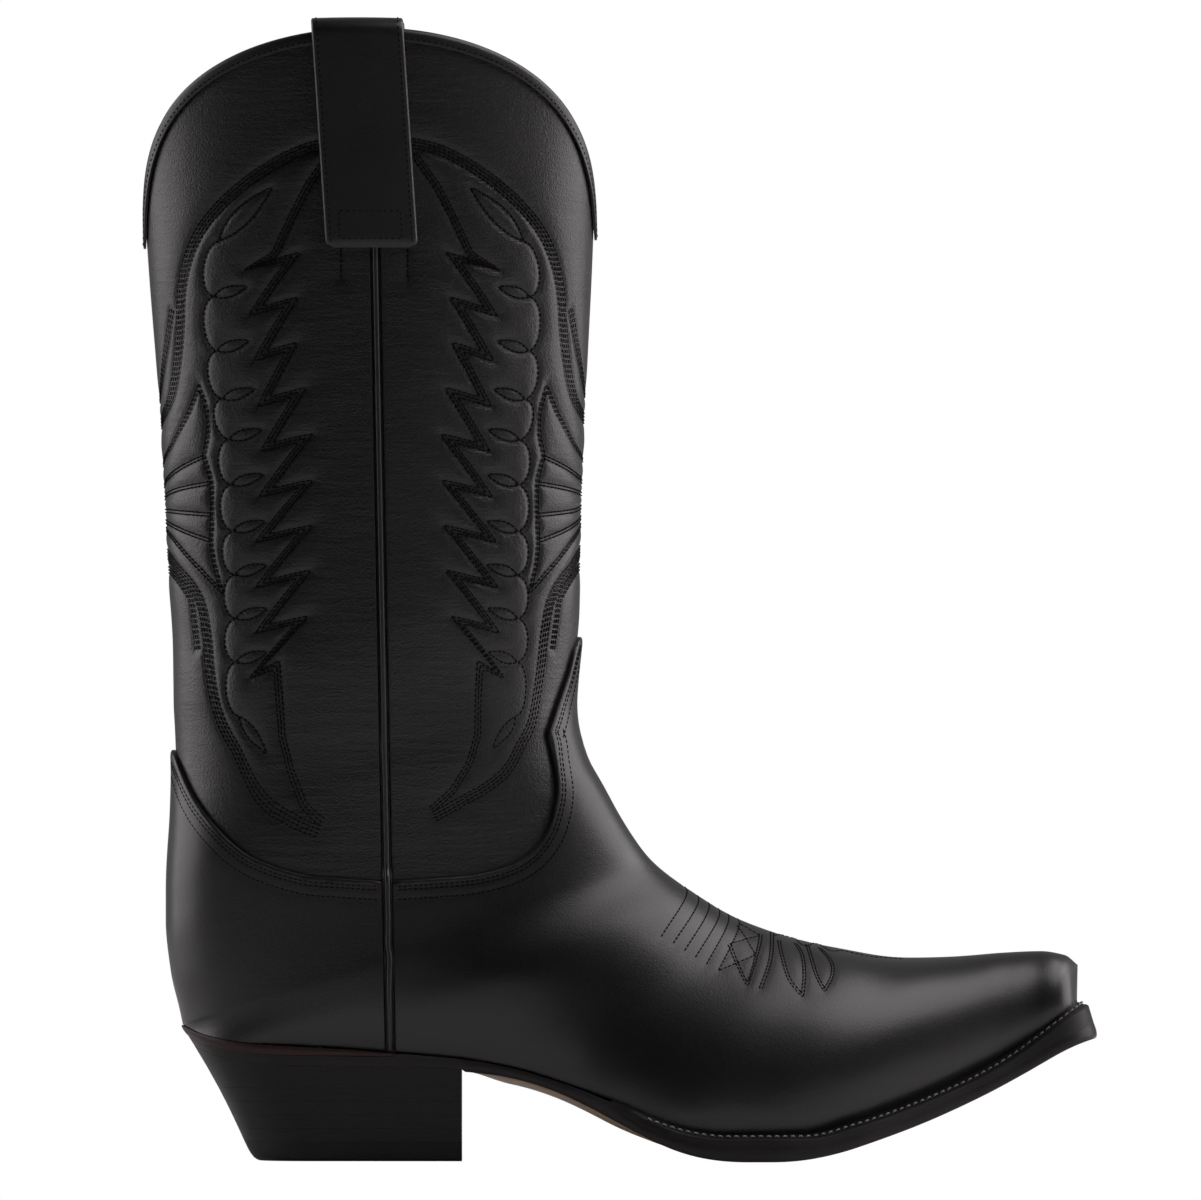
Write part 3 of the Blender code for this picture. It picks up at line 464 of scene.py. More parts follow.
def slice_faces(e, c, faces, field, level):
    """Cuts every face that crosses a level of the field, so that an edge runs along the level."""
    value = field(e, c) - level
    value = np.where(np.abs(value) < 0.05, 0.0, value)
    e, c, value = list(e), list(c), list(value)
    made, crossings = [], {}

    def crossing(a, b):
        key = (min(a, b), max(a, b))
        if key not in crossings:
            t = value[a] / (value[a] - value[b])
            crossings[key] = len(e)
            e.append(e[a] + (e[b] - e[a]) * t)
            c.append(c[a] + (c[b] - c[a]) * t)
        return crossings[key]

    for face in faces:
        signs = [value[i] for i in face]
        if min(signs) >= 0 or max(signs) <= 0:
            made.append(face)
            continue
        above, below = [], []
        for k, a in enumerate(face):
            b = face[(k + 1) % len(face)]
            if value[a] >= 0:
                above.append(a)
            if value[a] <= 0:
                below.append(a)
            if value[a] * value[b] < 0:
                above.append(crossing(a, b))
                below.append(above[-1])
        made += [part for part in (above, below) if len(part) > 2]
    return np.array(e), np.array(c), made


def rim_drop(depth, radius):
    """How far a rounded rim has fallen at this depth in from the edge."""
    inward = np.clip(1 - depth / radius, 0, 1)
    return radius * (1 - np.sqrt(1 - inward**2))


def trimmed_grid(rows, columns, field, rim):
    """A grid of the surface, trimmed where the field is zero, with extra edges along its rim."""
    e, c = (part.ravel() for part in np.meshgrid(rows, columns, indexing="ij"))
    faces = grid_quads(len(rows), len(columns)).tolist()
    for level in ([rim * share for share in RIM_LEVELS] if rim else []) + [0.0]:
        e, c, faces = slice_faces(e, c, faces, field, level)
    value = field(e, c)
    faces = [f for f in faces if sum(value[i] for i in f) / len(f) > 0]
    used, faces = renumbered(len(e), faces)
    return e[used], c[used], faces, value[used]


def weld(points, faces):
    """The faces with points in the same place taken as one."""
    places = np.round(points, 4) + 0.0
    _, first, index = np.unique(places, axis=0, return_index=True, return_inverse=True)
    same = first[index.reshape(-1)]
    welded = []
    for face in faces:
        ring = [int(same[i]) for i in face]
        ring = [a for k, a in enumerate(ring) if a != ring[k - 1]]
        if len(ring) > 2 and len(set(ring)) == len(ring):
            welded.append(tuple(ring))
    return welded


def open_edges(faces):
    """Directed edges that only one face has."""
    edges = {(a, b) for f in faces for a, b in zip(f, f[1:] + f[:1])}
    return [(a, b) for a, b in sorted(edges) if (b, a) not in edges]


def sheet(name, rows, columns, field, layer, finish, relief=None, rim=0.8):
    """A closed sheet of leather, trimmed to a field, with a rounded rim and a relief on its face."""
    e, c, faces, value = trimmed_grid(rows, columns, field, rim)
    height = relief(e, c) if relief else np.zeros(len(e))
    outer = layer_point(e, c, layer[0] + height - (rim_drop(value, rim) if rim else 0))
    inner = layer_point(e, c, np.full(len(e), layer[1]))
    faces = weld(base_point(e, c), faces)
    count = len(e)
    walls = [(b, a, a + count, b + count) for a, b in open_edges(faces)]
    back = [tuple(i + count for i in reversed(f)) for f in faces]
    points = np.concatenate([outer, inner])
    tone = {"relief": np.concatenate([height, np.zeros(count)])}
    return add_object(name, points, faces + walls + back, finish, tone)


def loft(name, rings, finish, closed=False, body="boot"):
    """A solid through rings of points (rings, points, 3), with its ends filled unless they join."""
    rings = np.asarray(rings, float)
    count, size = rings.shape[:2]
    i = np.arange(count if closed else count - 1)[:, None]
    j = np.arange(size)
    after, beside = (i + 1) % count, (j + 1) % size
    near, far = i * size, after * size
    quads = np.stack([near + j, near + beside, far + beside, far + j], axis=2)
    points = rings.reshape(-1, 3)
    faces = weld(points, quads.reshape(-1, 4).tolist())
    if not closed:
        faces += weld(points, [range(size)[::-1], range((count - 1) * size, count * size)])
    return add_object(name, points, faces, finish, body=body)


# ---------------------------------------------------------------- stitch lines

def shift(run, distance):
    """A run of places moved sideways over the surface, to its left, with mitred corners."""
    e, c = run
    points = base_point(e, c)
    steps = unit(np.diff(points, axis=0))
    normals = normal_at(e, c)
    before = np.cross(normals, np.concatenate([steps[:1], steps]))
    after = np.cross(normals, np.concatenate([steps, steps[-1:]]))
    spread = np.maximum(0.25, 1 + (before * after).sum(axis=1))
    move = (before + after) / spread[:, None] * distance
    down, across = slopes_at(e, c)
    long, wide, skew = (down * down).sum(1), (across * across).sum(1), (down * across).sum(1)
    downward, sideways = (down * move).sum(1), (across * move).sum(1)
    scale = long * wide - skew * skew
    rows = (wide * downward - skew * sideways) / scale
    columns = (long * sideways - skew * downward) / scale
    return e + rows, c + columns


def band(run, distances):
    """Rows of sewing side by side."""
    return [shift(run, distance) for distance in distances]


def resample(run, step):
    """The run with even steps over the surface."""
    e, c = run
    length = lengths_along(base_point(e, c))
    even = np.linspace(0, length[-1], max(2, int(round(length[-1] / step)) + 1))
    return np.interp(even, length, e), np.interp(even, length, c)


def leg_run(points, sharp=False):
    """A run on the leg from (angle from the panel's centre line, height) knots."""
    return place_on_leg(*(np.array(points, float) if sharp else smooth_path(points)).T)


def side_run(points, sharp=False):
    return place_in_side_view(*(np.array(points, float) if sharp else smooth_path(points)).T)


RUN_STEP = 0.4
ROW_GAP = 1.05

# Knots of the leg's stitch pattern, as (degrees from the panel's centre line, height)
OUTER_BAND = ((89, 340), (78, 338), (72, 336), (64.5, 331.5), (56.5, 325.5), (48, 318),
              (40, 309.5), (34, 300), (30, 289.5), (27.5, 276), (24, 264), (18.5, 254.5),
              (9, 249), (0, 247))
LOWER_BAND = ((0, 203.5), (9, 201), (17, 197), (25, 192.5), (30.5, 186), (32.7, 176), (33.7, 165),
              (35.5, 155), (39, 145.8), (45.8, 136.5), (52.5, 129.5), (60, 124.3), (66, 121),
              (71, 118), (77, 114.5))
FAN = ((0, 233), (15.5, 238), (28, 247.5), (35.3, 257.5), (35.3, 257.5), (38.2, 249), (38, 241.5),
       (35.8, 234.5), (35.8, 234.5), (38.4, 227), (38.6, 219), (38.2, 212), (37.6, 205.5),
       (38.6, 198), (41, 189.5), (41, 189.5), (30, 198), (15, 206.8), (0, 212))
FAN_RAYS = (((35.8, 234.3), (16, 229), (0, 226)), ((38, 225.5), (14, 223), (0, 222)),
            ((38, 215), (14, 216.5), (0, 218)), ((37, 206.5), (15, 211.5), (0, 214.5)))
TOP_SPEAR = ((23, 284), (18.5, 275), (13.5, 267.5), (6, 259), (0, 255))
TAIL = ((0, 198), (9, 196.5), (18, 192.5), (25, 186.5), (26.5, 178), (27.5, 170))
SCALLOP_Z = (306, 287.5, 269.5, 253.5, 240, 225, 209.5, 195, 180.5, 166, 148)
SCALLOP_LINE = ((148, 46), (166, 45.3), (200, 46.5), (240, 46.4), (254, 44.5), (270, 43.6),
                (288, 43.8), (306, 46.7))
SCALLOP_DEPTH = 4.6
LEAF_REACH = (11.5, 3.4)
TOP_LEAF_TIP = (64, 324)
FOOT_LEAF_TIP = (56.5, 135.5)
SEAM_TICK = ((81.3, 312), (81.3, 293.5))
PANEL_CLEARANCE = 0.482
FLAME_TOP = ((79, 336), (72.5, 324.5), (68, 314), (63, 302))
FLAME_TIP = ((160, 50), (175, 52.5), (205, 54), (236, 56.7), (296, 54.2))
FLAME_ROOT = ((166, 58.5), (180, 65.8), (240, 68.6), (270, 65.6), (298, 66.8))
FLAME_FIRST_TIP_Z = 296.0
FLAME_PITCH = 15.05
FLAME_RISE = 3.2
FLAME_BARBS = 10
FLAME_FOOT = ((59.3, 149), (60, 141), (63.5, 132), (70, 122.5), (77, 116))


def scallop_runs():
    """Half round scallops down the panel, each with a small leaf at its lower cusp."""
    turn = np.linspace(-math.pi / 2, math.pi / 2, 15)
    points, runs = [], []
    for top, bottom in zip(SCALLOP_Z, SCALLOP_Z[1:]):
        z = (top + bottom) / 2 - (top - bottom) / 2 * np.sin(turn)
        points += list(zip(curve(SCALLOP_LINE, z) - SCALLOP_DEPTH * np.cos(turn), z))
    runs.append(leg_run(points, sharp=True))
    first, *cusps, last = [(float(curve(SCALLOP_LINE, z)), z) for z in SCALLOP_Z]
    for angle, z in cusps:
        runs.append(leaf_run((angle, z), (angle + LEAF_REACH[0], z + LEAF_REACH[1]), 1.7))
    runs.append(leaf_run(first, TOP_LEAF_TIP, 2.7))
    runs.append(leaf_run(last, FOOT_LEAF_TIP, 1.8))
    return runs


def leaf_run(root, tip, half_width):
    """A pointed oval from root to tip, both in degrees and millimetres."""
    root, tip = np.array(root, float), np.array(tip, float)
    along = tip - root
    across = np.array((-along[1], along[0])) / np.linalg.norm(along) * half_width
    t = np.linspace(0, 1, 15)[:, None]
    bow = np.sin(math.pi * t**0.85)
    up = root + along * t + across * bow
    down = root + along * t - across * bow
    return leg_run(np.concatenate([up, down[::-1]]), sharp=True)


def flame_run():
    """The zigzag of flame barbs, with its tips towards the scallops and its roots towards the seam."""
    points = list(FLAME_TOP)
    for k in range(FLAME_BARBS):
        z = FLAME_FIRST_TIP_Z - FLAME_PITCH * k
        points.append((float(curve(FLAME_TIP, z)), z))
        points.append((float(curve(FLAME_ROOT, z + FLAME_RISE)), z + FLAME_RISE))
    return leg_run(points + list(FLAME_FOOT), sharp=True)


def quarter_runs():
    """Every stitch line of one quarter of the leg, as if it were a front quarter."""
    four_rows = [k * ROW_GAP for k in (-1.5, -0.5, 0.5, 1.5)]
    two_rows, three_rows = (-0.5, 0.5), (0, 1.0, 2.0)
    runs = band(leg_run(OUTER_BAND), four_rows) + band(leg_run(LOWER_BAND), four_rows)
    for line in (FAN, *FAN_RAYS):
        runs += band(leg_run(line), two_rows)
    runs += band(leg_run(TOP_SPEAR), three_rows) + band(leg_run(TAIL), (-1.0, 0, 1.0))
    runs += scallop_runs() + band(flame_run(), three_rows)
    runs.append(leg_run(SEAM_TICK, sharp=True))
    return runs


def on_panel(runs, front):
    """The runs of both quarters of a panel, kept off its centre line and its seams."""
    placed = []
    for run in runs:
        e, c = resample(run, RUN_STEP)
        keep = (c >= 0) & (c < PANEL_CLEARANCE)
        if keep.sum() > 4:
            c = c if front else 1 - c
            placed += [(e[keep], c[keep]), (e[keep], -c[keep])]
    return placed


# The relief beside a stitch line, and how much of it goes where the shaft sinks under the foot
GROOVE_WIDTH = 0.85
PILLOW_WIDTH = 3.6
HIDDEN_FADE = 0.75


def line_tree(runs):
    """A search tree of places along the stitch lines."""
    points = np.concatenate([base_point(*resample(run, RUN_STEP)) for run in runs])
    tree = kdtree.KDTree(len(points))
    for i, point in enumerate(points):
        tree.insert(point, i)
    tree.balance()
    return tree


def stitch_relief(runs, groove, pillow):
    """A relief that sinks along the stitch lines and swells between them."""
    tree = line_tree(runs)

    def relief(e, c):
        d = np.array([tree.find(point)[2] for point in base_point(e, c)])
        swell = pillow * (1 - np.exp(-((d / PILLOW_WIDTH) ** 2)))
        sink = groove * np.exp(-((d / GROOVE_WIDTH) ** 2))
        return (swell - sink) * (1 - HIDDEN_FADE * layer_drop(e, c) / LAP)

    return relief


STITCH_SIDES = ((1, 0), (0, 1), (-1, 0), (0, -1))
STITCH_PITCH = 1.75

# The four places of a stitch: the share of its pitch, and its lift
STITCH_SHAPE = ((0.02, -0.35), (0.2, 0.12), (0.8, 0.12), (0.98, -0.35))


def add_stitches(name, runs, distance, width):
    """Sewing thread: a row of short raised stitches along each run, every one its own shape."""
    rows, columns = zip(*(resample(run, STITCH_PITCH) for run in runs))

    def between(parts, share):
        return np.concatenate([part[:-1] + np.diff(part) * share for part in parts])

    places = [(between(rows, share), between(columns, share)) for share, _ in STITCH_SHAPE]
    spots = [layer_point(*place, distance + lift) for place, (_, lift) in zip(places, STITCH_SHAPE)]
    return add_thread(name, spots, normal_at(*places[1]), "thread", width)


def add_thread(name, spots, outward, finish, width, body="boot"):
    """Stitches from arrays of their four places along the thread and their outward direction."""
    sideways = np.cross(outward, unit(spots[2] - spots[1]))
    corners = [spots[0]]
    for spot in (spots[1], spots[2]):
        for across, up in STITCH_SIDES:
            corners.append(spot + sideways * across * width / 2 + outward * up * width * 0.45)
    corners.append(spots[3])
    points = np.stack(corners, axis=1)
    pattern = [(0, 1 + (k + 1) % 4, 1 + k) for k in range(4)]
    pattern += [(1 + k, 1 + (k + 1) % 4, 5 + (k + 1) % 4, 5 + k) for k in range(4)]
    pattern += [(9, 5 + k, 5 + (k + 1) % 4) for k in range(4)]
    faces = [tuple(10 * s + i for i in face) for s in range(len(points)) for face in pattern]
    return add_object(name, points.reshape(-1, 3), faces, finish, body=body)


# ---------------------------------------------------------------- the upper

SEAM_HALF_GAP = 1.5
SHEET_THICKNESS = 1.8
SHAFT_LAP = 9.0
PANEL_COLUMNS = 220
PANEL_ROWS = np.concatenate([np.linspace(E_TOP, E_ANKLE, 230, endpoint=False),
                             np.linspace(E_ANKLE, 20, 60)])
TOE_ROWS = E_TOE_ROUND + TOE_ARC * np.sin(np.linspace(0.07, math.pi / 2, 24))
VAMP_ROWS = np.concatenate([np.linspace(-160, E_ANKLE, 60, endpoint=False),
                            np.linspace(E_ANKLE, E_TOE_ROUND, 250), TOE_ROWS])
VAMP_COLUMNS = np.concatenate([-np.linspace(1, 0, 85)[:-1], np.linspace(0, 1, 85)])
COUNTER_ROWS = np.concatenate([np.linspace(-140, E_ANKLE, 40, endpoint=False),
                               np.linspace(E_ANKLE, E_BREAST, 150)])
COUNTER_SIDE = np.linspace(0.36, 1, 80)

# Where sewing stops short of the centre lines, the cord and the ridge of the instep
CENTRE_CLEARANCE = 0.02
BACK_CLEARANCE = 0.985
RIDGE_CLEARANCE = 0.004
CORD_CLEARANCE = 3.0
SEAM_ROW_GAPS = (2.0, 3.2, 6.4)

# Outer and inner faces of each layer, from the base surface, and the middle of each thread
FOOT_LAYER = (2.1, 0.3)
LINING_LAYER = (-2.1, -3.1)
LEG_THREAD = -0.16
FOOT_THREAD = 1.86
LEG_THREAD_WIDTH = 0.46


def seam_depth(points, front):
    """Distance from the side seam towards the panel, less the half gap that the cord fills."""
    ahead = points[:, 0] - seam_x(points[:, 2])
    return (ahead if front else -ahead) - SEAM_HALF_GAP


def path_depth(points, path):
    """Signed distance in side view from a path, positive on its right."""
    spots = points[:, [0, 2]]
    best = np.full(len(spots), 1e9)
    signed = np.zeros(len(spots))
    for a, b in zip(path[:-1], path[1:]):
        step = b - a
        length = np.linalg.norm(step)
        if length < 1e-6:
            continue
        offset = spots - a
        t = np.clip(offset @ step / length**2, 0, 1)
        away = np.linalg.norm(offset - t[:, None] * step, axis=1)
        side = offset[:, 0] * step[1] - offset[:, 1] * step[0]
        nearer = away < best - 1e-7
        best = np.where(nearer, away, best)
        signed = np.where(nearer, np.copysign(away, side), signed)
    return signed


VAMP_PATH = np.concatenate([smooth_path(VAMP_TOP), [(82, 200)]])
COUNTER_PATH = np.concatenate([smooth_path(COUNTER_TOP), [(-90, 170)]])


def upper_field(path, sign, front, lap=0.0):
    """The leather on one side of a seam, which runs on under its neighbour for the lap."""
    def field(e, c):
        points = base_point(e, c)
        return np.minimum(sign * path_depth(points, path) + lap, seam_depth(points, front))

    return field


def build_shaft():
    """Two stitched panels, front and back, that meet at the cords of the side seams."""
    runs = quarter_runs()
    for front, name, path in ((True, "front", VAMP_PATH), (False, "back", COUNTER_PATH)):
        placed = on_panel(runs, front)
        columns = np.linspace(-0.5, 0.5, PANEL_COLUMNS) + (0 if front else 1)
        field = upper_field(path, -1 if front else 1, front, SHAFT_LAP)
        panel = sheet(f"shaft_{name}_leather", PANEL_ROWS, columns, field, (0, -SHEET_THICKNESS),
                      "leg_leather", stitch_relief(placed, groove=0.4, pillow=0.34))
        dress(panel, "leg_leather", f"shaft_{name}")
        thread = add_stitches(f"shaft_{name}_stitching", placed, LEG_THREAD, LEG_THREAD_WIDTH)
        dress(thread, "leg_leather")


def edge_runs(path, distances):
    """Runs beside a seam on both sides of the boot."""
    runs = []
    for run in band(place_in_side_view(*path.T), distances):
        e, c = resample(run, 0.5)
        x, _, z = base_point(e, c).T
        clear = np.abs(x - seam_x(z)) > CORD_CLEARANCE
        keep = clear & (c > CENTRE_CLEARANCE) & (c < BACK_CLEARANCE)
        if keep.sum() > 4:
            runs += [(e[keep], c[keep]), (e[keep], -c[keep])]
    return runs


INSTEP_ROWS = (((109, 91.5), (100.3, 74.7)), ((112.5, 88.3), (104.3, 72.5)),
               ((116, 86), (108, 70)), ((119.3, 84), (111.6, 67.8)),
               ((122.6, 82), (115.3, 65.5)), ((125.8, 80.5), (119.3, 63.5)))
INSTEP_STAR = (((123, 72.3), (133.3, 75), (126.5, 79)),
               ((119.3, 63.5), (131.7, 68.7), (125.5, 78.5)),
               ((123, 72.3), (129, 58.7), (133.5, 75.5)))
INSTEP_BAR = ((137.3, 76), (136.6, 67), (133.3, 57.3))
INSTEP_LEAVES = (((139.5, 73.5), (140.6, 68), (143, 60.5), (147.3, 55.2), (147.3, 55.2),
                  (148, 62), (147.3, 68.5), (145, 72.5)),
                 ((149, 72), (150.2, 68), (152, 62), (154.7, 57), (154.7, 57), (157.3, 62),
                  (157, 66.5), (153, 71)))
INSTEP_WAVE = ((138, 75), (143, 75.3), (148, 71.5), (152, 72.4), (157, 69.8), (161, 69.9),
               (170, 67.9), (181, 67))


def instep_runs():
    """The stitched pattern over the instep, on both sides of its ridge."""
    runs = [side_run(line, sharp=True) for line in INSTEP_ROWS + INSTEP_STAR[:2]]
    runs += band(side_run(INSTEP_STAR[2], sharp=True), (-0.5, 0.5))
    runs += band(side_run(INSTEP_BAR), (-0.5, 0.5))
    for leaf in INSTEP_LEAVES:
        runs += band(side_run(leaf), (-0.45, 0.45))
    runs.append(side_run(INSTEP_WAVE))
    both = []
    for run in runs:
        e, c = resample(run, RUN_STEP)
        c = np.maximum(c, RIDGE_CLEARANCE)
        both += [(e, c), (e, -c)]
    return both


def build_foot_leather():
    """The vamp over the toe and instep, and the counter round the heel, sewn over the shaft."""
    parts = (
        ("vamp", "vamp", VAMP_ROWS, VAMP_COLUMNS, upper_field(VAMP_PATH, 1, True),
         edge_runs(VAMP_PATH[:-8], SEAM_ROW_GAPS) + instep_runs(), 0.45, 0.15, 0.62),
        ("counter", "counter_cover", COUNTER_ROWS, np.concatenate([-COUNTER_SIDE[::-1], COUNTER_SIDE]),
         upper_field(COUNTER_PATH, -1, False),
         edge_runs(COUNTER_PATH[:-1], [-gap for gap in SEAM_ROW_GAPS]), 0.4, 0.12, 0.52),
    )
    for name, node, rows, columns, field, runs, groove, pillow, width in parts:
        relief = stitch_relief(runs, groove, pillow)
        piece = sheet(name + "_leather", rows, columns, field, FOOT_LAYER, "foot_leather", relief)
        dress(piece, "foot_leather", node)
        dress(add_stitches(name + "_stitching", runs, FOOT_THREAD, width), "foot_leather")


def build_linings():
    """The linings: thin smooth sheets, joined to nothing but the leather outside them."""
    for front, name in ((True, "front"), (False, "back")):
        def field(e, c, front=front):
            return seam_depth(base_point(e, c), front) + SEAM_HALF_GAP - 0.2

        columns = np.linspace(-0.5, 0.5, 70) + (0 if front else 1)
        piece = sheet(f"shaft_lining_{name}_leather", np.linspace(E_TOP, E_ANKLE, 90), columns,
                      field, LINING_LAYER, "lining", soft_waves, rim=0.3)
        dress(piece, "lining_leather", f"shaft_lining_{name}")
    rows = np.linspace(E_ANKLE + 0.3, E_TOE_ROUND, 130)
    piece = sheet("vamp_lining_leather", rows, np.linspace(-1, 1, 90),
                  lambda e, c: np.ones(len(e)), LINING_LAYER, "lining", soft_waves, rim=0)
    dress(piece, "lining_leather", "vamp_lining")


def soft_waves(e, c):
    """Slight unevenness of glued lining leather."""
    return -0.12 * (1 + np.sin(e / 9 + 5 * np.sin(c * 7)) * np.sin(c * 31 + e / 23)) / 2


BINDING_SECTION = ((1.5, -2.6), (1.62, -2.0), (1.62, 0.2), (1.35, 1.0), (0.75, 1.5), (0, 1.65),
                   (-3.2, 1.65), (-3.95, 1.5), (-4.5, 1.0), (-4.75, 0.2), (-4.75, -2.2),
                   (-4.6, -2.8), (-3.95, -2.8), (-3.95, 0.7), (0.72, 0.7), (0.72, -2.6))
NOTCH_CLOSENESS = 0.92
BINDING_FACES = (1.66, -4.78)
BINDING_THREAD_DROP = 1.5

BINDING_STITCH_DEPTH = 0.3

# The four places of a stitch in the binding and the straps: the share of its pitch, and 1 where
# it goes into the leather
TRIM_STITCH = ((0.1, 1), (0.32, 0), (0.68, 0), (0.9, 1))
TRIM_PITCH = 2.0
TRIM_THREAD_WIDTH = 0.45


def topline_frame(c):
    """Places on the topline with their outward and upward directions."""
    point = base_point(E_TOP, c)
    outward = normal_at(E_TOP, c)
    ahead = np.where(c + COLUMN_STEP > 1, c + COLUMN_STEP - 2, c + COLUMN_STEP)
    behind = np.where(c - COLUMN_STEP < -1, c - COLUMN_STEP + 2, c - COLUMN_STEP)
    along = base_point(E_TOP, ahead) - base_point(E_TOP, behind)
    upward = np.cross(along, outward)
    upward *= np.sign(upward[:, 2:]) / np.linalg.norm(upward, axis=1, keepdims=True)
    return point, outward, upward


def topline_columns(count):
    """Columns round the topline, closer together at the front and back notches."""
    t = np.linspace(-1, 1, count, endpoint=False)
    return t - NOTCH_CLOSENESS * np.sin(2 * math.pi * t) / (2 * math.pi)


def build_binding():
    """A narrow strip of leather folded over the topline and sewn through below its edge."""
    point, outward, upward = topline_frame(topline_columns(520))
    rings = [point + outward * out + upward * up for out, up in BINDING_SECTION]
    strip = loft("top_binding_strip", np.stack(rings, axis=1), "trim", closed=True)
    dress(strip, "trim_leather", "top_binding")
    columns = np.linspace(-1, 1, 2001)
    even = resample((np.full(len(columns), E_TOP), columns), TRIM_PITCH)[1]
    spots = []
    for share, deep in TRIM_STITCH:
        point, outward, upward = topline_frame(even[:-1] + np.diff(even) * share)
        lifts = [face - math.copysign(BINDING_STITCH_DEPTH * deep, face) for face in BINDING_FACES]
        down = upward * BINDING_THREAD_DROP
        spots.append(np.concatenate([point + outward * lift - down for lift in lifts]))
    thread = add_thread("top_binding_stitching", spots, np.concatenate([outward, -outward]),
                        "thread", TRIM_THREAD_WIDTH)
    dress(thread, "trim_leather")


PIPING_SECTION = ((-1.45, -0.9), (-1.45, -0.2), (-1.2, 0.1), (-0.95, -0.05), (-0.8, 0.35),
                  (-0.5, 0.72), (0, 0.86), (0.5, 0.72), (0.8, 0.35), (0.95, -0.05), (1.2, 0.1),
                  (1.45, -0.2), (1.45, -0.9))
PIPING_TOP_Z = 336.0
PIPING_FOOT_Z = 36.9
PIPING_STEP_Z = (93.5, 98.5)


def build_piping(name, side):
    """The covered cord in the side seam, from under the pull strap to the sole."""
    z = np.linspace(PIPING_TOP_Z, PIPING_FOOT_Z, 330)
    lift = FOOT_LAYER[0] * (1 - smooth_step(z, *PIPING_STEP_Z))
    rings = []
    for across, up in PIPING_SECTION:
        e, c = place_in_side_view(seam_x(z) + across, z)
        rings.append(layer_point(e, side * c, lift + up))
    cord = loft(f"side_seam_cord_{name}", np.stack(rings, axis=1), "trim")
    dress(cord, "trim_leather", f"side_seam_piping_{name}")


# ---------------------------------------------------------------- pull straps

STRAP_WIDTH = 30.6
STRAP_HALF_THICKNESS = 0.95
STRAP_CROWN = 0.25
STRAP_BOTTOM = (4.2, 305.0)
STRAP_LEAN = -0.066
STRAP_PATH = ((2.5, 303.8), (2.5, 344), (2.9, 378.6), (-4.5, 379.4), (-12.6, 377.0), (-9.8, 344),
              (-6.5, 306), (-6.2, 293.5))
STRAP_PATH_POINTS = 170
STRAP_ROUNDING = 3.4
STRAP_CORNER = 2.6
STRAP_EDGE = 0.7
STRAP_EDGE_INSET = 1.7
STRAP_BOX_HALF_WIDTH = 10.3
STRAP_BOX = (306.8, 316)
STRAP_STITCH_LIFT = (1.12, 0.5)


def strap_point(across, out, z, side):
    """A place on a pull strap: across its width, outward from the leg, and up."""
    x = STRAP_BOTTOM[0] + STRAP_LEAN * (z - STRAP_BOTTOM[1]) + across
    reach = leg_reach(z, x > seam_x(z))
    leg_y = curve(LEG_HALF_WIDTH, z) * np.sqrt(1 - ((x - seam_x(z)) / reach) ** 2)
    return np.stack([x, side * (leg_y + out), z + 0 * x], axis=-1)


def rounded_path(corners, radius, steps=6):
    """The path with each corner swapped for a short curve, then filled in to even steps."""
    path = [np.array(corners[0], float)]
    for before, corner, after in zip(corners, corners[1:], corners[2:]):
        corner = np.array(corner, float)
        back, ahead = np.array(before) - corner, np.array(after) - corner
        start = corner + back / np.linalg.norm(back) * radius
        end = corner + ahead / np.linalg.norm(ahead) * radius
        for t in np.linspace(0, 1, steps + 1):
            path.append(start * (1 - t) ** 2 + corner * 2 * t * (1 - t) + end * t * t)
    path.append(np.array(corners[-1], float))
    path = np.array(path)
    length = lengths_along(path)
    return along_path(np.linspace(0, length[-1], STRAP_PATH_POINTS), length, path)


def strap_section(steps=18):
    """The strap's cross-section as (across, outward) points, with rounded long edges."""
    inner, up = STRAP_WIDTH / 2 - STRAP_EDGE, STRAP_HALF_THICKNESS
    flat = np.linspace(-inner, inner, steps)
    edge = np.linspace(math.pi / 2, -math.pi / 2, 7)[1:-1]
    half = [(x, up) for x in flat]
    half += [(inner + STRAP_EDGE * math.cos(a), up * math.sin(a)) for a in edge]
    return half + [(-x, -z) for x, z in half]


def build_strap(name, side):
    """A folded pull strap with sewn edges and a box of stitching where it meets the leg."""
    path = rounded_path(STRAP_PATH, STRAP_ROUNDING)
    along = unit(np.gradient(path, axis=0))
    across = np.stack([along[:, 1], -along[:, 0]], axis=1)
    steps = np.arange(len(path))
    ends = np.minimum(1, np.minimum(steps, steps[::-1]) / 3 + 0.25)
    short = np.maximum(0, STRAP_CORNER - lengths_along(path))
    narrow = 1 - (STRAP_CORNER - np.sqrt(STRAP_CORNER**2 - short**2)) * 2 / STRAP_WIDTH
    rings = []
    for x, up in strap_section():
        crown = STRAP_CROWN * (1 - (2 * x / STRAP_WIDTH) ** 2) * (1 if up > 0 else 0)
        spot = path + across * ((up + crown) * ends)[:, None]
        rings.append(strap_point(x * narrow, spot[:, 0], spot[:, 1], side))
    strap = loft(name + "_leather", np.stack(rings, axis=1), "strap", body=None)
    paint_edges(strap, STRAP_WIDTH / 2 - STRAP_EDGE / 2)
    dress(strap, "trim_leather", name)
    thread = strap_thread(name, path, across, side)
    for obj in (strap, thread):
        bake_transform(obj)


def paint_edges(strap, limit):
    """Marks the cut edges of the strap, which show the paler core of the leather."""
    points = np.array([v.co for v in strap.data.vertices]) / MM
    middle = STRAP_BOTTOM[0] + STRAP_LEAN * (points[:, 2] - STRAP_BOTTOM[1])
    edge = smooth_step(np.abs(points[:, 0] - middle), limit - 0.25, limit + 0.2)
    set_attribute(strap.data, "cut_edge", edge)


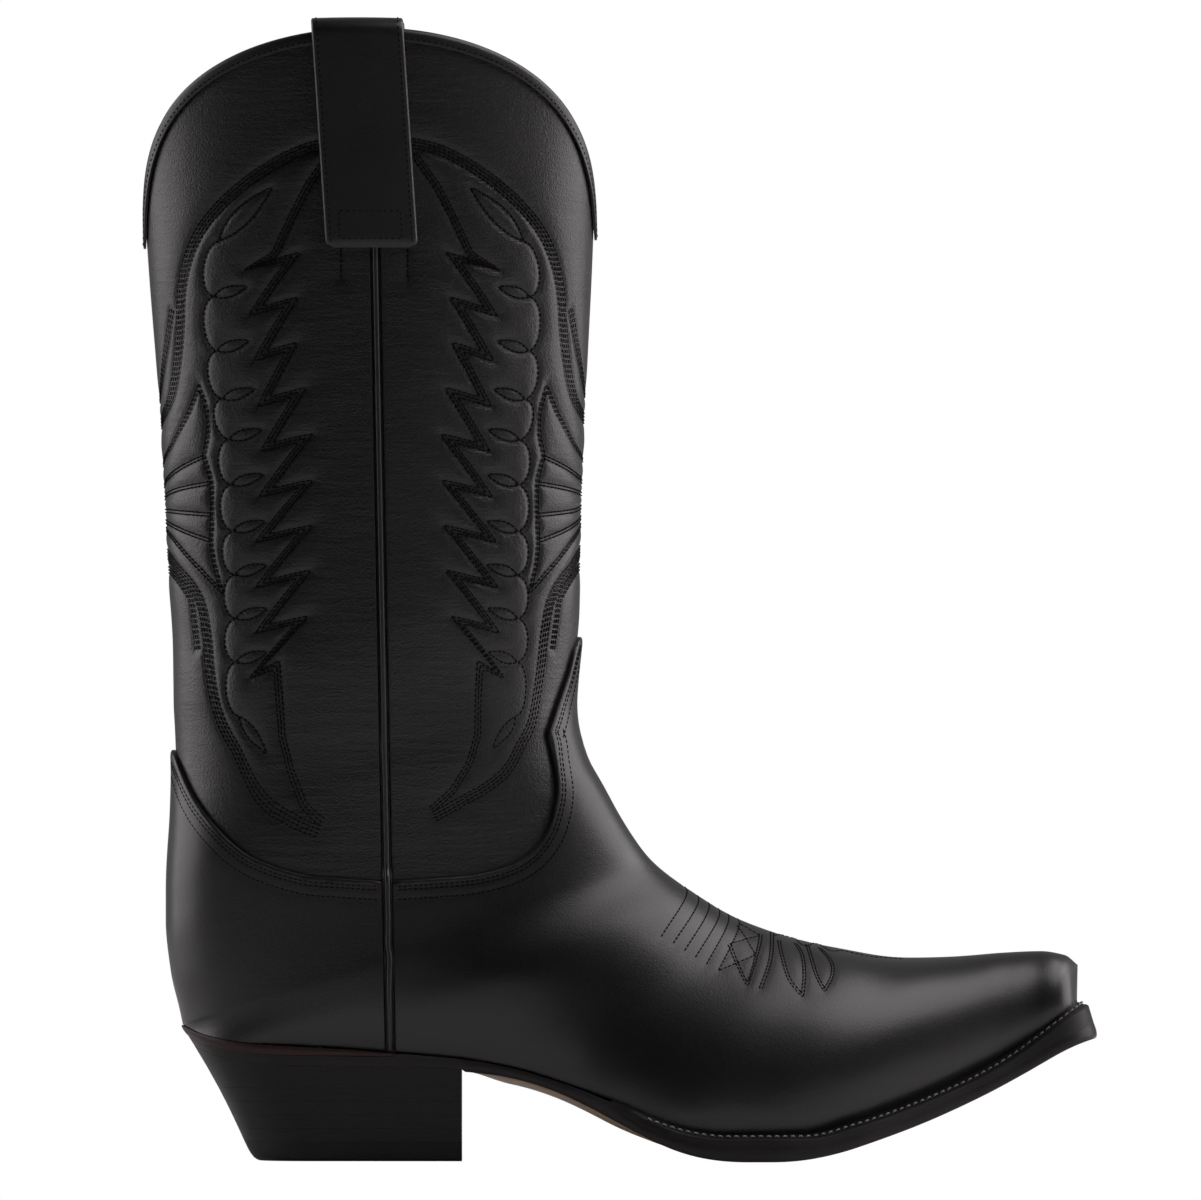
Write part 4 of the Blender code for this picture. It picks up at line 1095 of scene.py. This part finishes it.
def strap_thread(name, path, across, side):
    """Rows along both long edges of the strap, and a box where it is sewn to the leg."""
    length = lengths_along(path)
    first_face = slice(0, 60)
    low, high = (np.interp(z, path[first_face, 1], length[first_face]) for z in STRAP_BOX)
    inset, box = STRAP_WIDTH / 2 - STRAP_EDGE_INSET, STRAP_BOX_HALF_WIDTH
    lines = [((x, 1.5), (x, length[-1] - 2)) for x in (-inset, inset)]
    lines += [((x, low), (x, high)) for x in (-box, box)]
    lines += [((-box, s), (box, s)) for s in (low, high)]
    spots, outward = [[], [], [], []], []
    for (x0, s0), (x1, s1) in lines:
        count = int(round(math.hypot(x1 - x0, s1 - s0) / TRIM_PITCH))
        for k, (share, deep) in enumerate(TRIM_STITCH):
            t = (np.arange(count) + share) / count
            x, s = x0 + (x1 - x0) * t, s0 + (s1 - s0) * t
            away = along_path(s, length, across)
            spot = along_path(s, length, path) + away * STRAP_STITCH_LIFT[deep]
            spots[k].append(strap_point(x, spot[:, 0], spot[:, 1], side))
        outward.append(np.stack([0 * t, side * away[:, 0], away[:, 1]], axis=1))
    spots = [np.concatenate(part) for part in spots]
    thread = add_thread(name + "_stitching", spots, np.concatenate(outward), "thread",
                        TRIM_THREAD_WIDTH, body=None)
    dress(thread, "trim_leather")
    return thread


# ---------------------------------------------------------------- the bottom

def plan_point(e, side, grow, z):
    """Places beside the feather line, moved outward in plan, at height z."""
    points = base_point(e, side) + normal_at(e, side) * np.asarray(grow)[..., None]
    points[..., 2] = z
    return points


def feather_z(e):
    """The height of the feather line, where the upper meets the bottom."""
    return base_end(e)[1]


def sole_grow(e):
    return curve(SOLE_GROW, base_end(e)[0])


def strip_depth(e):
    return curve(STRIP_DEPTH, base_end(e)[0])


HEEL_LENGTH = 93.6
HEEL_HEIGHT = 30
BACK_DRAW = 0.54
BACK_BOW = 1.1
BACK_BOW_DEPTH = 40
SIDE_DRAW = 0.1


def heel_point(e, side, z, grow=0.0):
    """Places on the side of the heel, which draws in towards the breast as it goes down."""
    points = plan_point(e, side, sole_grow(e) + grow, z)
    depth = feather_z(e) - z
    bow = BACK_BOW * np.sin(np.clip(depth / BACK_BOW_DEPTH, 0, 1) * math.pi)
    length_share = 1 - (depth * BACK_DRAW + bow) / HEEL_LENGTH
    points[..., 0] = BREAST_X - (BREAST_X - points[..., 0]) * length_share
    points[..., 1] *= 1 - depth * SIDE_DRAW / HEEL_HEIGHT
    return points


def bar(name, rows, profile, finish, shares=(0.08, 0.25, 0.5, 0.75, 0.92), crown=None):
    """A layer across the boot: a profile of points up each side, joined below and above."""
    lateral, medial = profile(rows, -1), profile(rows, 1)
    above = [lateral[-1] + (medial[-1] - lateral[-1]) * t for t in shares]
    below = [lateral[0] + (medial[0] - lateral[0]) * t for t in shares]
    if crown is not None:
        for t, points in zip(shares, below):
            points[:, 2] -= crown * 4 * t * (1 - t)
    rings = lateral + above + medial[::-1] + below[::-1]
    return loft(name, np.stack(rings, axis=1), finish)


CAP_EDGE = ((0, -2.2), (0.35, -1.2), (1.0, -0.5), (2.2, -0.05), (3.6, 0.08), (CAP_THICKNESS, 0.02))
RAND_SECTION = ((0, -6), (0, 0.0), (-0.15, 0.3), (-0.5, 0.45), (-0.85, 0.25), (-1, 0), (-1, -6))
CAP_GAP = 0.04
LIFT_GAP = 0.05
SEAT_GAP = 0.35
RAND_GAP = 0.25


def heel_rows(count=70):
    return E_BREAST * (1 - np.cos(np.linspace(0, math.pi / 2, count))) ** 0.9


def build_heel():
    """Five leather lifts and a rubber cap, sanded and painted together to one smooth wall."""
    rows = heel_rows()
    for k in range(LIFTS):
        low = CAP_THICKNESS + CAP_GAP + (LIFTS - 1 - k) * LIFT_PITCH
        top = rows * 0 + low + LIFT_PITCH - LIFT_GAP
        if k == 0:
            top = feather_z(rows) - strip_depth(rows) - SEAT_GAP - SEAT_THICKNESS

        def profile(e, side, low=low, top=top):
            return [heel_point(e, side, z) for z in (low, (low + top) / 2, top)]

        lift = bar(f"heel_lift_{k + 1}_leather", rows, profile, "heel")
        dress(lift, "heel_leather", f"heel_lift_{k + 1}")

    def cap_profile(e, side):
        return [heel_point(e, side, z, grow) for z, grow in CAP_EDGE]

    cap = bar("heel_cap_rubber", rows, cap_profile, "rubber")
    dress(cap, "heel_rubber", "heel_cap")


def build_rand():
    """A thin half round strip of red-brown leather between the upper and the heel seat."""
    rows = np.linspace(0, 88, 90)

    def ring(e, side):
        top, depth = feather_z(e) - RAND_GAP, strip_depth(e)
        return [heel_point(e, side, top + share * depth, grow) for share, grow in RAND_SECTION]

    lateral = np.stack(ring(rows[::-1], -1), axis=1)
    medial = np.stack(ring(rows[1:], 1), axis=1)
    rand = loft("heel_rand_strip", np.concatenate([lateral, medial]), "rand")
    dress(rand, "rand_leather", "heel_rand")


ROUND_TOE_ROWS = E_TOE_ROUND + TOE_ARC * np.linspace(0.05, 1, 26)
WELT_ROWS = np.concatenate([np.linspace(160, E_TOE_ROUND, 130), ROUND_TOE_ROWS])
# The welt in section, as (out, up), less its underside
WELT_PROFILE = ((-2.6, -0.35), (0.1, -0.3), (0.1, 0.5), (-3.4, -0.25), (-2.2, -0.55),
                (-1.5, -0.95), (-0.55, -1.05), (0, -1.5))
WELT_GAP = 0.28
TOE_RISE = 3.6
TOE_LEAN = 0.3

# The stitched channel as (in from the edge, down), and a stitch as (share of its pitch, lift)
WELT_CHANNEL = (-1.9, -0.62)
WELT_STITCH = ((0.12, -0.2), (0.32, 0.35), (0.68, 0.35), (0.88, -0.2))
WELT_STITCH_PITCH = 2.7


def toe_flare(e, depth):
    """The toe of the sole leans forward as it goes down."""
    return TOE_LEAN * depth * smooth_step(e, E_TOE_ROUND - 4, E_TOE)


def welt_point(e, side, grow, drop):
    """Places on the welt: the edge beside the upper goes by it, the rest by the edge of the sole."""
    beside_upper = grow > 0 or grow == WELT_PROFILE[0][0]
    out = grow + (0 if beside_upper else sole_grow(e) + grow * (smooth_step(e, 160, 190) - 1))
    rise = TOE_RISE * smooth_step(e, E_TOE_ROUND - 26, E_TOE - 3)
    height = drop + rise * (np.asarray(drop) > -1.6)
    points = plan_point(e, side, out + 0 * e, feather_z(e) + height)
    points[..., 0] -= 0 if beside_upper else toe_flare(e, height)
    return points


def build_welt():
    """The strip between the upper and the sole, which runs round the toe from waist to waist."""
    rings = []
    for side, rows in ((-1, WELT_ROWS), (1, WELT_ROWS[-2::-1])):
        depth = strip_depth(rows)
        parts = [welt_point(rows, side, grow, drop) for grow, drop in WELT_PROFILE]
        under = -depth - WELT_GAP
        parts += [welt_point(rows, side, grow, under) for grow in (0, WELT_PROFILE[0][0])]
        rings.append(np.stack(parts, axis=1))
    welt = loft("welt_strip", np.concatenate(rings), "welt")
    dress(welt, "welt_leather", "welt")
    build_welt_stitching()


def build_welt_stitching():
    """The pale waxed stitches that hold the welt to the sole, in a channel along its top."""
    rows = np.linspace(172, E_TOE - 0.6, 900)
    places = np.concatenate([welt_point(line, side, *WELT_CHANNEL)
                             for side, line in ((-1, rows), (1, rows[::-1]))])
    length = lengths_along(places)
    count = int(length[-1] / WELT_STITCH_PITCH)
    spots = []
    for share, lift in WELT_STITCH:
        s = (np.arange(count) + share) / count * length[-1]
        spot = along_path(s, length, places)
        spot[:, 2] += lift
        spots.append(spot)
    outward = np.tile((0.0, 0.0, 1.0), (count, 1))
    dress(add_thread("welt_stitching", spots, outward, "pale_thread", 0.8), "welt_leather")


# The edge of the sole, from its underside up, as (share of the thickness, out)
SOLE_EDGE = ((0, -0.9), (0.12, -0.35), (0.3, -0.05), (0.5, 0.12), (0.8, 0.1), (1, 0))
SEAT_EDGE_SHARE = 0.05
SOLE_GAP = 0.3
ROLL_REACH = 13


def tread_z(x):
    """The height of the sole's underside, with its roll rounded over a few centimetres."""
    shifts = np.linspace(-ROLL_REACH, ROLL_REACH, 14)
    return np.mean([curve(SOLE_BOTTOM_Z, x + shift) for shift in shifts], axis=0)


def build_outsole():
    """One thickness of sole leather: heel seat, thin waist, and tread up to the toe."""
    waist_rows = np.linspace(E_BREAST, E_TOE_ROUND, 150)[1:]
    rows = np.concatenate([heel_rows(60), waist_rows, ROUND_TOE_ROWS])
    top = feather_z(rows) - SOLE_GAP - curve(SOLE_DROP, base_end(rows)[0])
    seat_bottom = feather_z(rows) - SOLE_GAP - strip_depth(rows) - SEAT_THICKNESS
    in_seat = rows <= E_BREAST

    def level(side, grow, z):
        seat = heel_point(rows, side, z, grow * SEAT_EDGE_SHARE)
        beyond = plan_point(rows, side, sole_grow(rows) + grow, z)
        beyond[:, 0] += toe_flare(rows, feather_z(rows) - z)
        return np.where(in_seat[:, None], seat, beyond)

    edge = level(-1, 0, top)
    bottom = np.where(in_seat, seat_bottom, tread_z(edge[:, 0]))

    def profile(_, side):
        return [level(side, grow, bottom + (top - bottom) * share) for share, grow in SOLE_EDGE]

    sole = bar("outsole_leather", rows, profile, "sole", crown=curve(WAIST_CROWN, edge[:, 0]))
    dress(sole, "sole_leather", "outsole")


# How far inside the upper each plate ends, its lower and upper face, and its last row
PLATES = (
    ("insole_board", "insole", "insole_leather", "insole",
     ((-60, -9), (-20, -6.8), (20, -5.8), (230, -5.6)), 2.3, 5.1, E_TOE_ROUND),
    ("heel_pad_leather", "heel_pad", "lining_leather", "lining",
     ((-60, -11), (-20, -8), (35, -7)), 5.4, 6.8, E_BREAST),
)


def build_inner_bottom():
    """The insole and the heel pad glued on it, both with softened edges."""
    for name, node, slot, finish, grow, low, high, last in PLATES:
        rows = last * (1 - np.cos(np.linspace(0, math.pi / 2, 90))) ** 0.9

        def profile(e, side):
            base = curve(grow, base_end(e)[0])
            steps = ((low, -0.4), (low + 0.4, 0), (high - 0.5, 0), (high - 0.15, -0.3), (high, -0.8))
            return [plan_point(e, side, base + more, feather_z(e) + z) for z, more in steps]

        piece = bar(name, rows, profile, finish)
        dress(piece, slot, node)


# ---------------------------------------------------------------- materials

def add_node(tree, kind, settings=None, **inputs):
    """A shader node with its settings, and its inputs as values or as outputs of other nodes."""
    made = tree.nodes.new(kind)
    for key, value in (settings or {}).items():
        setattr(made, key, value)
    for key, value in inputs.items():
        socket = made.inputs[int(key[1:]) if key[0] == "_" else key.replace("_", " ")]
        if isinstance(value, bpy.types.NodeSocket):
            tree.links.new(value, socket)
        else:
            socket.default_value = value
    return made


def maths(tree, operation, a, b=0.0, c=0.0):
    return add_node(tree, "ShaderNodeMath", {"operation": operation}, _0=a, _1=b, _2=c).outputs[0]


def mixed(tree, share, a, b):
    """A colour between a and b."""
    return add_node(tree, "ShaderNodeMix", {"data_type": "RGBA"}, _0=share, _6=a, _7=b).outputs[2]


def clamped(tree, value):
    return add_node(tree, "ShaderNodeClamp", Value=value).outputs[0]


def stretched(tree, scale=(1, 1, 1)):
    """The place on the object, with its axes scaled."""
    place = add_node(tree, "ShaderNodeTexCoord").outputs["Object"]
    return add_node(tree, "ShaderNodeMapping", Vector=place, Scale=scale).outputs[0]


def noise(tree, vector, scale, detail=3.0, roughness=0.55):
    return add_node(tree, "ShaderNodeTexNoise", Vector=vector, Scale=scale, Detail=detail,
                    Roughness=roughness).outputs["Fac"]


def new_material(name):
    made = bpy.data.materials.new(name)
    made.use_nodes = True
    return made, made.node_tree


def plug(shader, **inputs):
    """Sets the inputs of a shader, each to a value or to the output of another node."""
    for key, value in inputs.items():
        socket = shader.inputs[key.replace("_", " ")]
        if isinstance(value, bpy.types.NodeSocket):
            shader.id_data.links.new(value, socket)
        else:
            socket.default_value = value


def surface(tree, height=None, bump=(0.0, 0.0), **inputs):
    """The inputs of the material's own shader, with a height that bumps it by (strength, distance)."""
    shader = tree.nodes["Principled BSDF"]
    if height:
        strength, distance = bump
        inputs["Normal"] = add_node(tree, "ShaderNodeBump", Strength=strength, Distance=distance,
                                    Height=height).outputs[0]
    plug(shader, **inputs)


def base_colour(tree):
    return tree.nodes["Principled BSDF"].inputs["Base Color"].links[0].from_socket


def shade(colour, factor):
    return (*(min(1.0, part * factor) for part in colour), 1)


def attribute(tree, name):
    return add_node(tree, "ShaderNodeAttribute", {"attribute_name": name}).outputs["Fac"]


def wrinkles(tree, height, amount):
    """A height with fine wrinkles across the leg and softer folds under them."""
    lines = noise(tree, stretched(tree, (0.35, 0.35, 2.6)), 210, 4, 0.62)
    folds = noise(tree, stretched(tree, (0.3, 0.3, 1.6)), 60, 3, 0.5)
    height = maths(tree, "MULTIPLY_ADD", maths(tree, "POWER", lines, 1.6), amount, height)
    return maths(tree, "MULTIPLY_ADD", folds, amount * 2.2, height)


def grain_leather(name, colour, roughness, grain=1500, depth=0.00006, crease=0.0, coat=0.0, worn=None):
    """Leather: pores, fine wrinkles, uneven dye and polish, and painted shade with dirt darkening the
    hollows along the stitching.
    """
    made, tree = new_material(name)
    place = stretched(tree)
    pores = add_node(tree, "ShaderNodeTexVoronoi", {"feature": "SMOOTH_F1"}, Vector=place,
                     Scale=grain, Smoothness=0.4).outputs["Distance"]
    fine = noise(tree, place, grain * 0.45, 5, 0.6)
    patches = noise(tree, place, 22)
    height = maths(tree, "MULTIPLY_ADD", fine, 0.7, pores)
    if crease:
        height = wrinkles(tree, height, crease)
    relief = maths(tree, "MULTIPLY", attribute(tree, "relief"), 1.6)
    # Painted shade with dirt: the colour darkens towards 0.35 of itself where the relief sinks into
    # the stitch grooves.
    groove_shade_and_dirt = clamped(tree, maths(tree, "MULTIPLY", relief, -1.0))
    dye = maths(tree, "MULTIPLY", patches, 0.7)
    tone = mixed(tree, dye, shade(colour, 0.72), shade(colour, 1.35))
    tone = mixed(tree, groove_shade_and_dirt, tone, shade(colour, 0.35))
    if worn:
        ridge = clamped(tree, maths(tree, "MULTIPLY", relief, 0.5))
        tone = mixed(tree, maths(tree, "MULTIPLY", ridge, noise(tree, place, 90, 4)), tone, (*worn, 1))
    polish = maths(tree, "MULTIPLY_ADD", patches, 0.16, roughness - 0.08)
    polish = maths(tree, "MULTIPLY_ADD", fine, 0.12, maths(tree, "SUBTRACT", polish, 0.06))
    surface(tree, height, (0.8, depth), Base_Color=tone, Roughness=polish, Coat_Weight=coat,
            Coat_Roughness=0.22, Sheen_Weight=0.04)
    return made


def strap_leather(name, colour, core):
    """Strap leather with paler cut edges."""
    made = grain_leather(name, colour, 0.42, 1700, 0.00005, crease=0.5)
    tree = made.node_tree
    frayed = maths(tree, "MULTIPLY_ADD", noise(tree, stretched(tree), 700, 4), 0.9, 0.1)
    share = maths(tree, "MULTIPLY", attribute(tree, "cut_edge"), frayed)
    surface(tree, Base_Color=mixed(tree, share, base_colour(tree), (*core, 1)))
    return made


def thread_material(name, colour, gloss):
    """Waxed thread, with the twist of its plies."""
    made, tree = new_material(name)
    place = stretched(tree)
    twist = add_node(tree, "ShaderNodeTexWave", {"bands_direction": "DIAGONAL"}, Vector=place,
                     Scale=900, Distortion=1.5).outputs["Fac"]
    fuzz = noise(tree, place, 1800, 2)
    tone = mixed(tree, maths(tree, "MULTIPLY", twist, fuzz), shade(colour, 0.6), shade(colour, 1.7))
    surface(tree, twist, (0.7, 0.00008), Base_Color=tone, Specular_IOR_Level=gloss,
            Roughness=maths(tree, "MULTIPLY_ADD", fuzz, 0.2, 0.6))
    return made


def painted_edge(name, colour, roughness, streak=(1, 1, 9), brown=None, coat=0.0):
    """Sanded and painted leather edges: fine streaks along the layers and scuffs in the paint."""
    made, tree = new_material(name)
    streaks = noise(tree, stretched(tree, streak), 120, 5, 0.6)
    scuffs = noise(tree, stretched(tree), 60, 4)
    fine = noise(tree, stretched(tree), 1400)
    height = maths(tree, "MULTIPLY_ADD", streaks, 0.8, maths(tree, "MULTIPLY", fine, 0.35))
    tone = mixed(tree, scuffs, shade(colour, 0.7), shade(colour, 1.5))
    if brown:
        share = maths(tree, "MULTIPLY", maths(tree, "POWER", streaks, 3.0), 1.8)
        tone = mixed(tree, share, tone, (*brown, 1))
    polish = maths(tree, "MULTIPLY_ADD", scuffs, 0.25, roughness - 0.1)
    surface(tree, height, (0.7, 0.00012), Base_Color=tone, Roughness=polish, Coat_Weight=coat,
            Coat_Roughness=0.3, Specular_IOR_Level=0.28)
    return made


def facing_down(tree):
    """1 where a face in front of the heel looks down, 0 elsewhere."""
    facing = add_node(tree, "ShaderNodeNewGeometry").outputs["True Normal"]
    parts = add_node(tree, "ShaderNodeSeparateXYZ", Vector=facing).outputs
    across = maths(tree, "MULTIPLY_ADD", maths(tree, "ABSOLUTE", parts["Y"]), -1.6, 0.5)
    down = maths(tree, "SUBTRACT", across, parts["Z"])
    share = add_node(tree, "ShaderNodeMapRange", Value=down, From_Min=0.7, From_Max=0.82).outputs[0]
    along = add_node(tree, "ShaderNodeSeparateXYZ", Vector=stretched(tree)).outputs["X"]
    return maths(tree, "MULTIPLY", share, maths(tree, "GREATER_THAN", along, BREAST_X * MM))


def sole_leather(name, edge_colour, brown, tan):
    """Sole leather: edges painted near black, and a natural tan underside with fibre marks."""
    made = painted_edge(name, edge_colour, 0.42, brown=brown)
    tree = made.node_tree
    fibres = noise(tree, stretched(tree, (1, 5, 1)), 260, 5, 0.65)
    marks = maths(tree, "MULTIPLY", noise(tree, stretched(tree), 35), 0.4)
    under = mixed(tree, fibres, shade(tan, 0.75), shade(tan, 1.2))
    under = mixed(tree, marks, under, shade(tan, 0.6))
    surface(tree, Base_Color=mixed(tree, facing_down(tree), base_colour(tree), under))
    return made


def suede(name, colour, roughness=0.8):
    """Napped or fibrous leather, seen inside the boot."""
    made, tree = new_material(name)
    nap = noise(tree, stretched(tree), 1300, 4, 0.7)
    cloud = noise(tree, stretched(tree), 45, 4)
    tone = mixed(tree, cloud, shade(colour, 0.78), shade(colour, 1.18))
    tone = mixed(tree, maths(tree, "MULTIPLY", nap, 0.4), tone, shade(colour, 0.6))
    surface(tree, nap, (0.6, 0.00015), Base_Color=tone, Sheen_Weight=0.25,
            Roughness=maths(tree, "MULTIPLY_ADD", nap, 0.15, roughness - 0.07))
    return made


def cork_material(name):
    made, tree = new_material(name)
    cells = add_node(tree, "ShaderNodeTexVoronoi", Vector=stretched(tree), Scale=520).outputs[0]
    tone = mixed(tree, cells, (0.42, 0.26, 0.12, 1), (0.16, 0.09, 0.04, 1))
    surface(tree, cells, (0.8, 0.0003), Base_Color=tone, Roughness=0.9)
    return made


def steel_material(name):
    made, tree = new_material(name)
    lines = noise(tree, stretched(tree, (12, 1, 1)), 500)
    tone = mixed(tree, lines, (0.42, 0.42, 0.43, 1), (0.62, 0.61, 0.6, 1))
    surface(tree, lines, (0.3, 0.00005), Base_Color=tone, Metallic=1.0,
            Roughness=maths(tree, "MULTIPLY_ADD", lines, 0.2, 0.28))
    return made


BLACK = (0.0034, 0.0029, 0.0032)


def make_finishes():
    """Every finish of the boot, by the short name that the pieces use."""
    return {
        "leg_leather": grain_leather("black_leg_leather", BLACK, 0.39, depth=0.0001, crease=1.9,
                                     coat=0.04, worn=(0.014, 0.012, 0.012)),
        "foot_leather": grain_leather("black_foot_leather", BLACK, 0.37, grain=1900, depth=0.00004,
                                      crease=0.45, coat=0.06, worn=(0.012, 0.01, 0.01)),
        "trim": grain_leather("black_trim_leather", BLACK, 0.42, depth=0.00005, coat=0.05),
        "strap": strap_leather("black_strap_leather", (0.0034, 0.003, 0.0034), (0.1, 0.088, 0.084)),
        "thread": thread_material("dark_thread", (0.0045, 0.003, 0.003), 0.08),
        "pale_thread": thread_material("waxed_welt_thread", (0.2, 0.19, 0.2), 0.5),
        "lining": suede("tan_lining_leather", (0.36, 0.22, 0.12)),
        "insole": suede("insole_leather", (0.5, 0.34, 0.2), 0.7),
        "stiffener": suede("fibre_stiffener", (0.45, 0.36, 0.26), 0.9),
        "cork": cork_material("cork"),
        "steel": steel_material("steel"),
        "welt": painted_edge("black_welt", (0.005, 0.0044, 0.0048), 0.5),
        "sole": sole_leather("sole_leather", (0.0052, 0.0046, 0.005), (0.014, 0.009, 0.0075),
                             (0.42, 0.27, 0.15)),
        "rand": painted_edge("red_brown_rand", (0.022, 0.0085, 0.0075), 0.45),
        "heel": painted_edge("black_heel_leather", (0.0045, 0.0042, 0.0046), 0.46, coat=0.04),
        "rubber": painted_edge("black_rubber", (0.0045, 0.0043, 0.0046), 0.5, (1, 1, 1)),
    }


FRAME_FINISHES = {
    "toe_box": "stiffener", "heel_counter": "stiffener", "cork_filler": "cork", "shank": "steel",
    **{f"{kind}_nail_{k}": "steel" for kind in ("heel", "cap") for k in range(1, 6)},
}


def finish_frame_nodes():
    """Procedural finishes for the frame's own pieces, all of them hidden inside the boot."""
    for name, finish in FRAME_FINISHES.items():
        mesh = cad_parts[name].data
        mesh.materials.clear()
        mesh.materials.append(FINISHES[finish])


# ---------------------------------------------------------------- studio

CAMERA_DISTANCE = 12.0
VIEW_CENTRE = (80.2, 186.7)
VIEW_WIDTH = 400.33
FLOOR_HALF_WIDTH = 4

# Name, place, target, size and power
SOFTBOXES = (
    ("softbox_left", (-1.35, 0.25, 0.5), (0.05, 0, 0.2), (1.3, 1.5), 15),
    ("softbox_right", (1.55, 0.25, 0.55), (0.05, 0, 0.2), (1.3, 1.5), 18),
    ("softbox_top", (0.9, -0.2, 1.35), (0.12, 0, 0.1), (1.6, 1.1), 18),
)


def white_to_camera(tree, kind, shader, output):
    """Plain white where the camera looks straight at it, and the shader for all other light."""
    seen = add_node(tree, "ShaderNodeLightPath").outputs["Is Camera Ray"]
    white = add_node(tree, kind, Color=(1, 1, 1, 1), Strength=1.0)
    both = add_node(tree, "ShaderNodeMixShader", Fac=seen, _1=shader.outputs[0], _2=white.outputs[0])
    tree.links.new(both.outputs[0], tree.nodes[output].inputs["Surface"])


def build_floor():
    """A pale floor that the camera sees as plain white, without shadows."""
    half, z = FLOOR_HALF_WIDTH, -0.0005
    mesh = bpy.data.meshes.new("floor")
    corners = [(-half, -half, z), (half, -half, z), (half, half, z), (-half, half, z)]
    mesh.from_pydata(corners, [], [(0, 1, 2, 3)])
    made, tree = new_material("studio_floor")
    surface(tree, Base_Color=(0.75, 0.75, 0.76, 1), Roughness=0.7)
    white_to_camera(tree, "ShaderNodeEmission", tree.nodes["Principled BSDF"], "Material Output")
    mesh.materials.append(made)
    link("floor", mesh)


def add_softbox(name, place, target, size, power):
    data = bpy.data.lights.new(name, "AREA")
    data.shape = "RECTANGLE"
    data.size, data.size_y = size
    data.energy = power
    data.color = (1, 0.955, 0.975)
    lamp = link(name, data)
    lamp.location = place
    lamp.rotation_euler = (Vector(target) - Vector(place)).to_track_quat("-Z", "Y").to_euler()


def build_world(scene):
    """Dim light from the camera's side and brighter light from behind the boot."""
    scene.world = bpy.data.worlds.new("studio")
    scene.world.use_nodes = True
    tree = scene.world.node_tree
    place = add_node(tree, "ShaderNodeTexCoord").outputs["Generated"]
    behind = add_node(tree, "ShaderNodeSeparateXYZ", Vector=place).outputs["Y"]
    strength = add_node(tree, "ShaderNodeMapRange", {"interpolation_type": "SMOOTHSTEP"}, Value=behind,
                        From_Min=-0.4, From_Max=0.9, To_Min=0.008, To_Max=0.22).outputs[0]
    plug(tree.nodes["Background"], Color=(1, 0.99, 0.98, 1), Strength=strength)
    white_to_camera(tree, "ShaderNodeBackground", tree.nodes["Background"], "World Output")


def build_camera(scene):
    """A long lens, level with the middle of the boot and square to its side."""
    data = bpy.data.cameras.new("camera")
    data.lens = data.sensor_width * CAMERA_DISTANCE / (VIEW_WIDTH * MM)
    data.clip_end = 50
    scene.camera = link("camera", data)
    scene.camera.location = (VIEW_CENTRE[0] * MM, -CAMERA_DISTANCE, VIEW_CENTRE[1] * MM)
    scene.camera.rotation_euler = (math.pi / 2, 0, 0)


def build_studio():
    scene = bpy.context.scene
    scene.view_settings.view_transform = "Standard"
    build_floor()
    build_world(scene)
    for softbox in SOFTBOXES:
        add_softbox(*softbox)
    build_camera(scene)


# ---------------------------------------------------------------- the boot

FINISHES = make_finishes()
finish_frame_nodes()
build_shaft()
build_foot_leather()
build_linings()
build_binding()
for side, name in SIDES:
    build_piping(name, side)
for side, name in SIDES:
    build_strap(f"pull_strap_{name}", side)
build_heel()
build_rand()
build_welt()
build_outsole()
build_inner_bottom()
build_studio()
